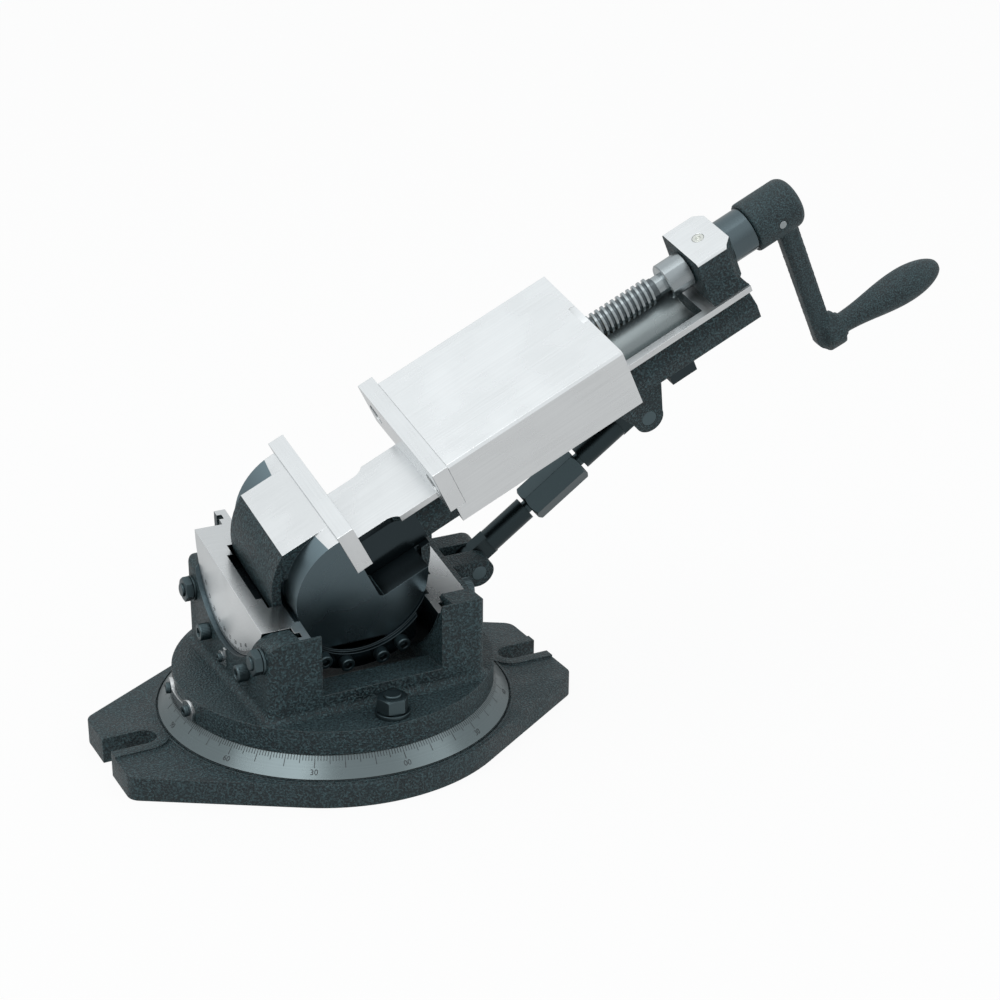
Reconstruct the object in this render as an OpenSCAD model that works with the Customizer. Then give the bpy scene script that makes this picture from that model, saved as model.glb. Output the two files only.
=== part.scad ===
// Three-axis machine vise: a swivel base, a rolling saddle and a tilting vise body
// Millimetres, +Z up, origin at the middle of the base's underside on the swivel axis
// The +X end carries the brace, and the jaws and screw point up towards it

/* [Pose as photographed] */
// Roll of the saddle about the long axis, near side down
roll_deg = 13; // [0:0.5:16]
// Elevation of the vise body above the saddle
pitch_deg = 28.7; // [27:0.1:40]
// Opening between the two jaw plates
jaw_open = 51.5; // [20:0.5:90]

/* [Smoothness] */
// Facets on the large round bodies
fn_big = 120; // [72:12:180]
// Facets on bores, pins and fasteners
fn_small = 48; // [32:8:96]

/* [Base] */
// Radius of the round base plate
base_r = 106; // [104:0.5:112]
// Distance from the axis to the end of each lug
lug_end = 138.5; // [132:0.5:150]
// Half width of a lug at its end
lug_half = 42.5; // [36:0.5:46]
// Corner radius of a lug
lug_corner = 9; // [5:0.5:12]
// Thickness of the base plate and lugs
base_t = 14; // [12:0.5:16]
// Width of the bolt slots
slot_w = 16; // [12:0.5:18]
// Distance from the axis to the middle of a slot's round end
slot_x = 117.5; // [114:0.5:122]
// Height of the raised pad round each slot
slot_pad_h = 1.2; // [0.8:0.1:2]
// Bore for the turntable's spigot
spigot_d = 50; // [40:1:56]

/* [Swivel scale] */
// Outer radius at the foot of the scale's cone
scale_r_foot = 102.5; // [101:0.5:104]
// How much the cone narrows from its foot to its top
scale_taper = 10; // [8:0.5:11]
// Height where the cone starts
scale_z = 15; // [14.5:0.1:16]
// Height of the joint between base and turntable
table_z = 26; // [25:0.5:27]

/* [Turntable and cradle] */
// Height of the flange's top
flange_z = 40; // [39:0.5:41]
// Left face of the cradle block
cradle_left = 65; // [64:0.5:66]
// Right face of the cradle block
cradle_right = 67; // [64:0.5:68]
// Half depth of the cradle block
cradle_half = 64.5; // [64:0.5:66]
// Height of the left post on the low side
post_z = 87; // [84:0.5:89]
// How much taller the posts on the high side are
post_extra = 4.5; // [0:0.5:5]
// Left edge of the window between the posts
window_left = 34; // [33:0.5:37]
// Right edge of the window
window_right = 39; // [37:0.5:40]
// Height of the window's sill
sill_z = 51; // [48:0.5:54]
// Distance of the clamping bolts inside the flange's rim
clamp_in = 12.5; // [12:0.5:14]
// Diameter of the clamping bolts
clamp_d = 10; // [8:1:12]

/* [Roll] */
// Height of the roll axis
roll_z = 113; // [112.5:0.5:116]
// Radius of the saddle's round underside
saddle_r = 54; // [52:0.5:54]
// Half length of the saddle
saddle_half = 62; // [60:0.5:62]
// Depth of the saddle's flat top below the roll axis
saddle_drop = 14; // [12:0.5:16]
// How far the saddle's wings stand out past its round underside
wing_step = 13.6; // [12:0.1:13.6]
// Inner face of a wing
wing_in = 38; // [37.5:0.5:40]
// Outer face of a wing
wing_out = 45; // [44:0.5:45.5]
// Distance of the lock studs inside the wings' edge
lock_in = 1.6; // [1:0.1:2.6]
// Angle of the lock studs from straight down
lock_deg = 54.5; // [52:0.5:56]

/* [Pitch] */
// Depth of the pitch axis below the roll axis
pitch_drop = 2.5; // [1:0.5:4]
// Radius of the drum
drum_r = 48.5; // [47:0.5:49]
// Half width of the drum
drum_half = 31; // [29:0.5:31]
// Radius of the trunnion discs
disc_r = 40; // [38:0.5:40]
// Half width over the trunnion discs
disc_half = 46.5; // [45:0.5:46.5]
// Flat pad on top of the drum
pad_z = 40; // [36:0.5:42]

/* [Jaws and bed] */
// Width of the jaw plates
jaw_w = 100; // [90:1:110]
// Sideways offset of the plates from the body's middle
jaw_shift = 3.5; // [0:0.5:4]
// Height of the bed's ways above the pitch axis
bed_z = 12.5; // [11:0.5:14]
// Height of the top of the jaws above the pitch axis
jaw_z = 42.5; // [40:0.5:46]
// Thickness of a jaw plate
plate_t = 10; // [8:0.5:12]
// Back of the fixed jaw plate
fixed_x = 2; // [1:0.5:4]
// Half width of the bed
bed_half = 26.5; // [25:0.5:28]
// Rear end of the bed
bed_end = 281; // [276:1:290]
// Underside of the bed
bed_low = -12.5; // [-16:0.5:-12]
// Length of the movable jaw behind its plate
block_len = 116; // [112:1:118]
// Half width of the movable jaw
block_half = 46.5; // [42:0.5:48]
// Lower edge of the movable jaw's skirts
skirt_z = 1.7; // [1:0.1:3]

/* [Screw and crank] */
// Height of the screw above the pitch axis
screw_z = 27.8; // [27:0.1:29]
// Outer diameter of the screw thread
screw_d = 16.4; // [14:0.1:17]
// Pitch of the screw thread
screw_pitch = 3.63; // [3:0.01:5]
// Diameter of the screw's journal in the screw block
journal_d = 14; // [12:0.5:15]
// Front face of the screw block
block_x = 257; // [254:0.5:258]
// Length of the screw block
screw_block_len = 26; // [24:0.5:28]
// Top of the screw block
screw_block_z = 42; // [40:0.5:46]
// Diameter of the crank's hub
hub_d = 31.3; // [28:0.1:34]
// Distance from the screw axis to the grip
crank_throw = 104.5; // [98:0.5:114]
// Length of the grip
grip_len = 74.5; // [60:0.5:80]

/* [Brace] */
// Distance of the lower pin from the middle of the saddle
lower_pin_x = 92.4; // [92:0.1:94]
// Depth of the lower pin below the roll axis
lower_pin_z = 34.7; // [34:0.1:36]
// Distance of the upper pin along the bed
upper_pin_x = 198.6; // [198:0.1:201]
// Depth of the upper pin below the pitch axis
upper_pin_z = 43.1; // [42:0.1:44]
// Diameter of both brace pins
brace_pin_d = 10; // [8:0.5:10]
// Width across the flats of the brace's hexagon
hex_af = 20.5; // [19:0.5:24]
// Length of the brace's hexagon
hex_len = 39.6; // [36:0.2:40]
// Outer diameter of the brace's tubes
tube_d = 14.6; // [14:0.1:16]
// Diameter of the hexagon's studs
brace_stud_d = 8; // [7:0.5:8]

/* [Hidden] */
// Overrun of a cutting body past the face it cuts
over = 1;
// Radial clearance of a running fit
run_gap = 0.05;
// Clearance round screws in their holes
hole_gap = 0.05;
// Gap between faces that pass each other
pass_gap = 0.3;
// Sides of a hexagon
hex_sides = 6;
half_turn = 180;
quarter = 90;
// Length of cutting bodies that run right through
far_reach = 400;

// Base plate's round pad, raised boss and T-slot
scale_r_top = scale_r_foot - scale_taper;
base_pad_rim = 2.3;
foot_groove_gap = 0.1;
foot_groove_w = 1.1;
foot_groove_depth = 1.5;
base_pad_r = scale_r_foot + base_pad_rim;
slot_pad_rim = 7;
boss_gap = 0.1;
scale_wall_share = 0.95;
boss_r = scale_r_top * scale_wall_share;
scale_top_z = table_z - pass_gap;
tslot_gap = 0.6;
tslot_neck = clamp_d + tslot_gap;
tslot_half = 9;
tslot_low = 4.5;
tslot_high = 13;
thead_len = 16;
thead_wide = 16;
thead_t = 8;
entry_r = 11.6;

flange_step = 1;
flange_r = scale_r_top + flange_step;
clamp_r = flange_r - clamp_in;
wing_r = saddle_r + wing_step;
lock_r = wing_r - lock_in;
spigot_low = 4.6;
spigot_floor = 4;
post_round = 9;
tall_post_round = 5;
right_post_extra = 2.5;
foot_cove_r = 5;
cradle_corner = 6;
clamp_hole_gap = 1;
clamp_hole_d = clamp_d + clamp_hole_gap;
washer_d = 20;
spotface_rim = 2;
washer_t = 2.5;
clamp_nut_af = 16;
clamp_nut_t = 8.4;
clamp_stud_over = 1.5;
trough_r = saddle_r + pass_gap;
wing_run_gap = 0.4;
wing_trough_r = wing_r + wing_run_gap;
inner_trough_r = 76.6;
wing_side_gap = 1;
wing_gap_x = wing_out + wing_side_gap;
stud_d = 8;
lock_nut_af = 13;
lock_nut_t = 4.8;
lock_washer_d = 15;
lock_washer_t = 1.4;
lock_stud_out = 7.6;
keeper_screw_in = 4.6;
keeper_screw_r = wing_r - keeper_screw_in;
keeper_screw_deg = 28;
keeper_screw_d = 6;
keeper_head_d = 10;
keeper_head_t = 6.5;
keeper_t = 5;
keeper_inner_in = 10.3;
keeper_in_r = wing_r - keeper_inner_in;
keeper_rim_out = 1.4;
keeper_out_r = wing_r + keeper_rim_out;
keeper_deg = 36;
keeper_tongue_low = 8.25;
keeper_tongue_in = wing_r - keeper_tongue_low;
keeper_tongue_t = 3.3;
keeper_tongue_out = keeper_tongue_in + keeper_tongue_t;
keeper_tongue_x = 42.4;
tongue_gap = 0.35;
keeper_groove_x = keeper_tongue_x - tongue_gap;
keeper_seat_x = wing_gap_x + keeper_t;
pointer_t = 1.2;
pointer_y = 2;
pointer_z = 58;
pointer_w = 3;
pointer_foot_z = 47;
pointer_screw_y = 8;
pointer_screw_z = 50;
pointer_eye_r = 4;
pointer_screw_d = 3;
pointer_head_d = 5.5;
pointer_head_t = 2;
pointer_depth = 7;

vernier_t = 2.2;
vernier_low = 27;
vernier_high = 34.5;
vernier_from = 169;
vernier_to = 187.5;
vernier_lobe = 6;
vernier_z = 32.4;
vernier_deg = [vernier_from, vernier_to];
vernier_screw_d = 3.5;
vernier_head_d = 6.5;
vernier_head_t = 2.5;
vernier_depth = 8;

belly_r = 58;
belly_half = 35;
cheek_r = 51.5;
cheek_y = 47;
well_half = 50;
well_relief = 53.5;
well_relief_y = 22;
well_low = 24;
drum_gap = 0.5;
well_r = drum_r + drum_gap;
shoe_in_r = disc_r + run_gap;
shoe_out_r = 42.6;
shoe_tongue_y = 28.1;
shoe_plate_r = 51.4;
shoe_plate_t = 3.3;
shoe_plate_lip = 1.2;
shoe_plate_drop = 8;
shoe_half = 34;
shoe_screw_r = 45.6;
shoe_screw_x = [-23.5, -9.5, 12, 24.5];
shoe_screw_d = 5;
shoe_head_d = 8.5;
shoe_head_t = 5.5;
shoe_screw_in = 11;
drum_groove_r = shoe_out_r + tongue_gap;
drum_groove_y = shoe_tongue_y - tongue_gap;
groove_top = 24;

bracket_x = saddle_half;
bracket_t = 9;
bracket_half = 40;
bracket_top = 22;
bracket_r = 52;
ear_in = 4;
ear_out = 15;
ear_r = 9.5;
bracket_screw_y = 29;
bracket_screw_z = 32;
bracket_screw_d = 8;
bracket_head_d = 13;
bracket_head_t = 8;
bracket_screw_in = 12;
brace_tang_t = 7.4;
brace_eye_r = 8.2;
tang_len = 16;

neck_x = 32;
neck_half = 22.5;
notch_x = 6;
notch_z = -12.8;
notch_round = 3;
way_lip = 4;
web_half = 21;
web_low = 4;
flange_top = -3;
way_round = 9;
trough_x0 = 120;
trough_x1 = 250;
trough_half = 21.5;
trough_depth = 14;
trough_arc_r = (trough_half * trough_half + trough_depth * trough_depth) / (2 * trough_depth);
rib_low = -22;
rib_x0 = 182.8;
rib_x1 = 234;
rib_mid = 217;
boss_half = 24;
ear_front_z = -30;
ear_back_x = 214;
plate_y0 = jaw_shift - jaw_w / 2;
jaw_screw_y = 38;
jaw_screw_z = 27;
jaw_screw_d = 8;
jaw_head_d = 13;
jaw_head_t = 7;
jaw_head_sunk = 1;
jaw_screw_in = 16;

plate_x = fixed_x + plate_t + jaw_open;
block_x0 = plate_x + plate_t;
block_x1 = block_x0 + block_len;
ledge = 6;
channel_gap = 0.8;
channel_half = bed_half + channel_gap;
strip_in = 22.2;
strip_out = 36;
strip_low = 3.6;
strip_top = bed_z - way_lip - pass_gap;
strip_len = 96;
strip_gap = 10;
strip_screw_y = 31.5;
strip_screw_d = 5;
strip_head_d = 8.5;
strip_head_t = 2.4;
strip_screw_in = 10;
strip_screws = 3;
block_bevel = 1.5;
bore_d = 19;
nut_len = 30;
nut_d = 26;
nut_flange_d = 34;
nut_flange_t = 4;

thread_x0 = 119;
thread_x1 = 235;
thread_depth = 1.6;
groove_share = 0.5;
tip_d = 12;
tip_len = 3;
neck_d = 12.4;
collar_x0 = 241;
collar_d = 22;
block_x2 = block_x + screw_block_len;
rear_collar_d = 27;
rear_collar_t = 16.2;
collar_gap = 0.2;
rear_x = block_x2 + collar_gap;
hub_gap = 0.6;
hub_x = rear_x + rear_collar_t + hub_gap;
hub_len = 33;
hub_round = 6;
set_screw_d = 6;
set_screw_len = 5;
set_screw_deg = 210;
pin_d = 5;
pin_in = 16;
pin_x = hub_x + pin_in;
shank_in = 24;
shank_end = hub_x + shank_in;
arm_in = 16.5;
arm_x = hub_x + arm_in;
arm_lean = 1.8;
arm_w = 13;
arm_foot_w = 12.5;
arm_t = 11.5;
arm_bevel = 2;
elbow_round = 11;
crank_turn_deg = 2;
elbow_z = -crank_throw;
boss_d = 22.6;
boss_len = 8.5;
boss_round = 3;
grip_deg = 2.5;
grip_neck_r = 6.6;
grip_swell_r = 11.2;
grip_foot = 6;
grip_steps = 40;
grip_tip_share = 0.64;

foot_flare = 5;
foot_h = 7;
block_side = 20;
block_bolt_y = 13;
block_bolt_d = 8;
block_bolt_head_d = 13;
block_bolt_head_t = 8;
block_bolt_in = 14;
block_bolt_seat = -3;
oiler_d = 7;
oiler_len = 6;
oiler_rim = 0.8;
oiler_ball_d = 3;

// Position of the upper pin in the saddle's plane, and the brace's line between the pins
up_x = upper_pin_x * cos(pitch_deg) + upper_pin_z * sin(pitch_deg);
up_z = upper_pin_x * sin(pitch_deg) - upper_pin_z * cos(pitch_deg) - pitch_drop;
brace_dx = up_x - lower_pin_x;
brace_dz = up_z + lower_pin_z;
brace_len = sqrt(brace_dx * brace_dx + brace_dz * brace_dz);
brace_deg = atan2(brace_dz, brace_dx);
tube_len = 46;
hex_mid = brace_len / 2;
stud_reach = 27;
lower_bore_d = brace_stud_d + 2 * run_gap;
open_pivot_gap = 1.4;
upper_bore_d = brace_stud_d + 2 * open_pivot_gap;
tube_bore = 29.5;
hex_bevel = 1.6;
hex_face_in = 0.5;
hex_turn_deg = 25;

// Frames of the moving parts

module in_roll() {
    translate([0, 0, roll_z]) rotate([roll_deg, 0, 0]) children();
}

module in_vise() {
    in_roll() translate([0, 0, -pitch_drop]) rotate([0, -pitch_deg, 0]) children();
}

module in_brace() {
    in_roll() translate([lower_pin_x, 0, -lower_pin_z]) rotate([0, -brace_deg, 0]) children();
}

// Shared shapes

// Cylinder along X between two places
module rod_x(x0, x1, r, fn) {
    translate([x0, 0, 0]) rotate([0, quarter, 0]) cylinder(r = r, h = x1 - x0, $fn = fn);
}

// Cylinder along Y between two places
module rod_y(y0, y1, r, fn) {
    translate([0, y0, 0]) rotate([-quarter, 0, 0]) cylinder(r = r, h = y1 - y0, $fn = fn);
}

module tube_x(x0, x1, r_in, r_out, fn) {
    difference() {
        rod_x(x0, x1, r_out, fn);
        rod_x(x0 - over, x1 + over, r_in, fn);
    }
}

module tube_y(y0, y1, r_in, r_out, fn) {
    difference() {
        rod_y(y0, y1, r_out, fn);
        rod_y(y0 - over, y1 + over, r_in, fn);
    }
}

module block(x0, x1, y0, y1, z0, z1) {
    translate([x0, y0, z0]) cube([x1 - x0, y1 - y0, z1 - z0]);
}

module hex_prism(af, h) {
    cylinder(r = af / 2 / cos(half_turn / hex_sides), h = h, $fn = hex_sides);
}

// Outline in the X and Z plane, drawn out along Y
module sheet_y(y0, y1) {
    translate([0, y1, 0]) rotate([quarter, 0, 0]) linear_extrude(y1 - y0) children();
}

// Outline in the Y and Z plane, drawn out along X
module sheet_x(x0, x1) {
    translate([x0, 0, 0]) rotate([quarter, 0, quarter]) linear_extrude(x1 - x0) children();
}

module both_sides_y() {
    children();
    mirror([0, 1, 0]) children();
}

module both_ends_x() {
    children();
    mirror([1, 0, 0]) children();
}

// Base

// Angle of the straight edge that touches the round plate and a lug's corner
lug_cx = lug_end - lug_corner;
lug_cy = lug_half - lug_corner;
lug_far = sqrt(lug_cx * lug_cx + lug_cy * lug_cy);
lug_deg = atan2(lug_cy, lug_cx) + acos((base_r - lug_corner) / lug_far);

module lug_outline() {
    tx = base_r * cos(lug_deg);
    ty = base_r * sin(lug_deg);
    cx = lug_cx + lug_corner * cos(lug_deg);
    cy = lug_cy + lug_corner * sin(lug_deg);
    polygon([[0, ty], [tx, ty], [cx, cy], [lug_cx, lug_cy], [lug_end, lug_cy],
             [lug_end, -lug_cy], [lug_cx, -lug_cy], [cx, -cy], [tx, -ty], [0, -ty]]);
    for (side = [-1, 1]) {
        translate([lug_cx, side * lug_cy]) circle(r = lug_corner, $fn = fn_small);
    }
}

module slot_cut(half) {
    translate([slot_x, 0, -over]) cylinder(r = half, h = base_t + 3 * over, $fn = fn_small);
    block(slot_x, lug_end + over, -half, half, -over, base_t + 2 * over);
}

module base_casting() {
    rim = slot_w / 2 + slot_pad_rim;
    color([0.17, 0.2, 0.2]) difference() {
        union() {
            cylinder(r = base_r, h = base_t, $fn = fn_big);
            both_ends_x() linear_extrude(base_t) lug_outline();
            cylinder(r = base_pad_r, h = scale_z, $fn = fn_big);
            cylinder(r = boss_r, h = table_z, $fn = fn_big);
            both_ends_x() intersection() {
                union() {
                    translate([slot_x, 0, 0])
                        cylinder(r = rim, h = base_t + slot_pad_h, $fn = fn_small);
                    block(slot_x, lug_end, -rim, rim, 0, base_t + slot_pad_h);
                }
                linear_extrude(base_t + slot_pad_h) lug_outline();
            }
        }
        both_ends_x() slot_cut(slot_w / 2);
        translate([0, 0, spigot_floor]) cylinder(r = spigot_d / 2, h = table_z, $fn = fn_big);
        rotate_extrude($fn = fn_big) {
            translate([clamp_r - tslot_neck / 2, tslot_low]) square([tslot_neck, table_z]);
            translate([clamp_r - tslot_half, tslot_low]) square([2 * tslot_half, tslot_high - tslot_low]);
            translate([scale_r_foot + foot_groove_gap, scale_z - foot_groove_depth])
                square([foot_groove_w, table_z]);
        }
        both_ends_x() translate([clamp_r, 0, -over])
            cylinder(r = entry_r, h = tslot_low + 2 * over, $fn = fn_small);
    }
}

module swivel_scale_ring() {
    lip = 0.6;
    color([0.72, 0.74, 0.75]) rotate_extrude($fn = fn_big)
        polygon([[boss_r + boss_gap, scale_z], [scale_r_foot, scale_z], [scale_r_foot, scale_z + lip],
                 [scale_r_top, scale_top_z], [boss_r + boss_gap, scale_top_z]]);
}

// Turntable

// Half of a cradle wall, its upper outer corner rounded, mirrored for the left end
module post_half(face, y0, y1, top, round_r) {
    block(-over, face, y0, y1, flange_z - over, top - round_r);
    block(-over, face - round_r, y0, y1, flange_z - over, top);
    translate([face - round_r, 0, top - round_r]) rod_y(y0, y1, round_r, fn_small);
}

// Plan of the cradle block with its four rounded corners
module cradle_plan() {
    depth = 2 * cradle_half;
    width = cradle_left + cradle_right;
    translate([-cradle_left + cradle_corner, -cradle_half]) square([width - 2 * cradle_corner, depth]);
    translate([-cradle_left, -cradle_half + cradle_corner]) square([width, depth - 2 * cradle_corner]);
    cradle_corners() circle(r = cradle_corner, $fn = fn_small);
}

module cradle_corners() {
    for (x = [-cradle_left + cradle_corner, cradle_right - cradle_corner], side = [-1, 1]) {
        translate([x, side * (cradle_half - cradle_corner), 0]) children();
    }
}

// Profile of the cast cove, its upright side at the given distance
module cove_profile(face) {
    difference() {
        translate([face - over, flange_z - over]) square([foot_cove_r + over, foot_cove_r + over]);
        translate([face + foot_cove_r, flange_z + foot_cove_r]) circle(r = foot_cove_r, $fn = fn_small);
    }
}

// Cast cove where the cradle block meets the flange
module foot_cove() {
    intersection() {
        union() {
            both_sides_y() sheet_x(-cradle_left + cradle_corner, cradle_right - cradle_corner)
                cove_profile(cradle_half);
            sheet_y(cradle_corner - cradle_half, cradle_half - cradle_corner) cove_profile(cradle_right);
            sheet_y(cradle_corner - cradle_half, cradle_half - cradle_corner)
                mirror([1, 0]) cove_profile(cradle_left);
            cradle_corners() rotate_extrude($fn = fn_small) cove_profile(cradle_corner);
        }
        translate([0, 0, table_z]) cylinder(r = flange_r, h = flange_z, $fn = fn_big);
    }
}

// Arc of a ring about the roll axis, a given angle either way from straight down
module down_arc(x0, x1, r_in, r_out, deg) {
    reach = r_out * 2;
    intersection() {
        tube_x(x0, x1, r_in, r_out, fn_big);
        sheet_x(x0, x1)
            polygon([[0, 0], [-reach * sin(deg), -reach * cos(deg)], [-reach * sin(deg), -reach],
                     [reach * sin(deg), -reach], [reach * sin(deg), -reach * cos(deg)]]);
    }
}

module on_lock_circle(r, deg) {
    for (side = [-1, 1]) {
        translate([0, side * r * sin(deg), roll_z - r * cos(deg)]) children();
    }
}

module turntable_cradle() {
    color([0.17, 0.2, 0.2]) difference() {
        union() {
            translate([0, 0, table_z]) cylinder(r = flange_r, h = flange_z - table_z, $fn = fn_big);
            translate([0, 0, spigot_low])
                cylinder(r = spigot_d / 2 - run_gap, h = table_z - spigot_low + over, $fn = fn_big);
            intersection() {
                linear_extrude(far_reach) cradle_plan();
                union() {
                    mirror([1, 0, 0]) post_half(cradle_left, -cradle_half, over, post_z, post_round);
                    post_half(cradle_right, -cradle_half, over, post_z + right_post_extra, tall_post_round);
                    mirror([1, 0, 0])
                        post_half(cradle_left, 0, cradle_half, post_z + post_extra, tall_post_round);
                    post_half(cradle_right, 0, cradle_half, post_z + post_extra, tall_post_round);
                }
            }
            foot_cove();
        }
        block(-window_left, window_right, -far_reach, far_reach, sill_z, post_z + post_extra + over);
        translate([0, 0, roll_z]) {
            rod_x(-far_reach, far_reach, trough_r, fn_big);
            rod_x(-wing_gap_x, wing_gap_x, wing_trough_r, fn_big);
            rod_x(-window_left, window_right, inner_trough_r, fn_big);
            both_ends_x() down_arc(wing_gap_x - over, keeper_seat_x, keeper_in_r - tongue_gap,
                                   keeper_out_r + tongue_gap, keeper_deg + over);
        }
        on_lock_circle(lock_r, lock_deg) rod_x(-far_reach, 0, stud_d / 2 + hole_gap, fn_small);
        on_lock_circle(keeper_screw_r, keeper_screw_deg)
            rod_x(-far_reach, far_reach, keeper_screw_d / 2 + hole_gap, fn_small);
        for (side = [-1, 1]) {
            translate([0, side * clamp_r, 0]) {
                translate([0, 0, table_z - over])
                    cylinder(r = clamp_hole_d / 2, h = far_reach, $fn = fn_small);
                translate([0, 0, flange_z])
                    cylinder(r = washer_d / 2 + spotface_rim, h = far_reach, $fn = fn_small);
            }
        }
        translate([-cradle_left, pointer_screw_y, pointer_screw_z])
            rod_x(-over, pointer_depth + over, pointer_screw_d / 2 + hole_gap, fn_small);
        for (a = vernier_deg) {
            rotate([0, 0, a]) translate([0, 0, vernier_z])
                rod_x(flange_r - vernier_depth, flange_r + over, vernier_screw_d / 2 + hole_gap, fn_small);
        }
    }
}

module vernier_plate() {
    mid = (vernier_from + vernier_to) / 2;
    half = (vernier_to - vernier_from) / 2;
    reach = flange_r * 2;
    color([0.78, 0.79, 0.8]) difference() {
        intersection() {
            translate([0, 0, vernier_low])
                cylinder(r = flange_r + vernier_t, h = flange_z - vernier_low, $fn = fn_big);
            union() {
                rotate([0, 0, mid]) translate([0, 0, vernier_low])
                    linear_extrude(vernier_high - vernier_low)
                        polygon([[0, 0], [reach * cos(half), -reach * sin(half)],
                                 [reach * cos(half), reach * sin(half)]]);
                for (a = vernier_deg) {
                    rotate([0, 0, a]) translate([0, 0, vernier_z])
                        rod_x(flange_r - over, flange_r + 2 * vernier_t, vernier_lobe, fn_small);
                }
            }
        }
        cylinder(r = flange_r, h = flange_z + over, $fn = fn_big);
        for (a = vernier_deg) {
            rotate([0, 0, a]) translate([0, 0, vernier_z])
                rod_x(flange_r - over, flange_r + 2 * vernier_t, vernier_screw_d / 2 + hole_gap, fn_small);
        }
    }
}

module vernier_screws() {
    seat = flange_r + vernier_t;
    color([0.12, 0.12, 0.13]) for (a = vernier_deg) {
        rotate([0, 0, a]) translate([0, 0, vernier_z]) {
            rod_x(flange_r - vernier_depth + over, seat, vernier_screw_d / 2, fn_small);
            rod_x(seat, seat + vernier_head_t, vernier_head_d / 2, fn_small);
        }
    }
}

module swivel_clamp_bolts() {
    top = flange_z + washer_t + clamp_nut_t + clamp_stud_over;
    under = tslot_high - thead_t;
    color([0.2, 0.21, 0.22]) for (side = [-1, 1]) {
        translate([0, side * clamp_r, 0]) {
            block(-thead_len / 2, thead_len / 2, -thead_wide / 2, thead_wide / 2, under, tslot_high);
            translate([0, 0, under]) cylinder(r = clamp_d / 2, h = top - under, $fn = fn_small);
        }
    }
}

module swivel_clamp_washers() {
    color([0.25, 0.26, 0.27]) for (side = [-1, 1]) {
        translate([0, side * clamp_r, flange_z]) difference() {
            cylinder(r = washer_d / 2, h = washer_t, $fn = fn_small);
            translate([0, 0, -over])
                cylinder(r = clamp_d / 2 + hole_gap, h = washer_t + 2 * over, $fn = fn_small);
        }
    }
}

module swivel_clamp_nuts() {
    turn = 23;
    color([0.2, 0.21, 0.22]) for (side = [-1, 1]) {
        translate([0, side * clamp_r, flange_z + washer_t]) difference() {
            rotate([0, 0, turn]) hex_prism(clamp_nut_af, clamp_nut_t);
            translate([0, 0, -over])
                cylinder(r = clamp_d / 2 + hole_gap, h = clamp_nut_t + 2 * over, $fn = fn_small);
        }
    }
}

// Roll keepers and locks

module roll_keeper() {
    translate([0, 0, roll_z]) {
        down_arc(wing_gap_x, keeper_seat_x, keeper_in_r, keeper_out_r, keeper_deg);
        down_arc(keeper_tongue_x, wing_gap_x + over, keeper_tongue_in, keeper_tongue_out, keeper_deg);
    }
}

module keeper_with_holes() {
    difference() {
        roll_keeper();
        on_lock_circle(keeper_screw_r, keeper_screw_deg)
            rod_x(wing_gap_x - over, keeper_seat_x + over, keeper_screw_d / 2 + hole_gap, fn_small);
    }
}

module left_roll_keeper() {
    color([0.5, 0.51, 0.52]) mirror([1, 0, 0]) keeper_with_holes();
}

module right_roll_keeper() {
    color([0.5, 0.51, 0.52]) keeper_with_holes();
}

module roll_keeper_screws() {
    color([0.14, 0.14, 0.15]) {
        mirror([1, 0, 0]) keeper_screw_pair(cradle_left);
        keeper_screw_pair(cradle_right);
    }
}

module keeper_screw_pair(face) {
    on_lock_circle(keeper_screw_r, keeper_screw_deg) {
        rod_x(wing_gap_x, face, keeper_screw_d / 2, fn_small);
        rod_x(face, face + keeper_head_t, keeper_head_d / 2, fn_small);
    }
}

module roll_lock_studs() {
    color([0.2, 0.21, 0.22]) on_lock_circle(lock_r, lock_deg)
        rod_x(-cradle_left - lock_stud_out, -wing_out - pass_gap, stud_d / 2, fn_small);
}

module roll_lock_washers() {
    color([0.3, 0.31, 0.32]) on_lock_circle(lock_r, lock_deg)
        tube_x(-cradle_left - lock_washer_t, -cradle_left, stud_d / 2 + hole_gap,
               lock_washer_d / 2, fn_small);
}

module roll_lock_nuts() {
    seat = -cradle_left - lock_washer_t;
    color([0.2, 0.21, 0.22]) on_lock_circle(lock_r, lock_deg) difference() {
        translate([seat - lock_nut_t, 0, 0]) rotate([0, quarter, 0]) hex_prism(lock_nut_af, lock_nut_t);
        rod_x(seat - lock_nut_t - over, seat + over, stud_d / 2 + hole_gap, fn_small);
    }
}

module roll_pointer() {
    x0 = -cradle_left - pointer_t;
    color([0.8, 0.81, 0.82]) difference() {
        union() {
            block(x0, -cradle_left, pointer_y - pointer_w / 2, pointer_y + pointer_w / 2,
                  pointer_foot_z, pointer_z);
            block(x0, -cradle_left, pointer_y, pointer_screw_y, pointer_foot_z, pointer_screw_z + pointer_w);
            translate([0, pointer_screw_y, pointer_screw_z])
                rod_x(x0, -cradle_left, pointer_eye_r, fn_small);
        }
        translate([0, pointer_screw_y, pointer_screw_z])
            rod_x(x0 - over, -cradle_left + over, pointer_screw_d / 2 + hole_gap, fn_small);
    }
}

module roll_pointer_screw() {
    seat = -cradle_left - pointer_t;
    color([0.14, 0.14, 0.15]) translate([0, pointer_screw_y, pointer_screw_z]) {
        rod_x(seat, -cradle_left + pointer_depth, pointer_screw_d / 2, fn_small);
        rod_x(seat - pointer_head_t, seat, pointer_head_d / 2, fn_small);
    }
}

// Saddle, in the frame of the roll axis

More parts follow.
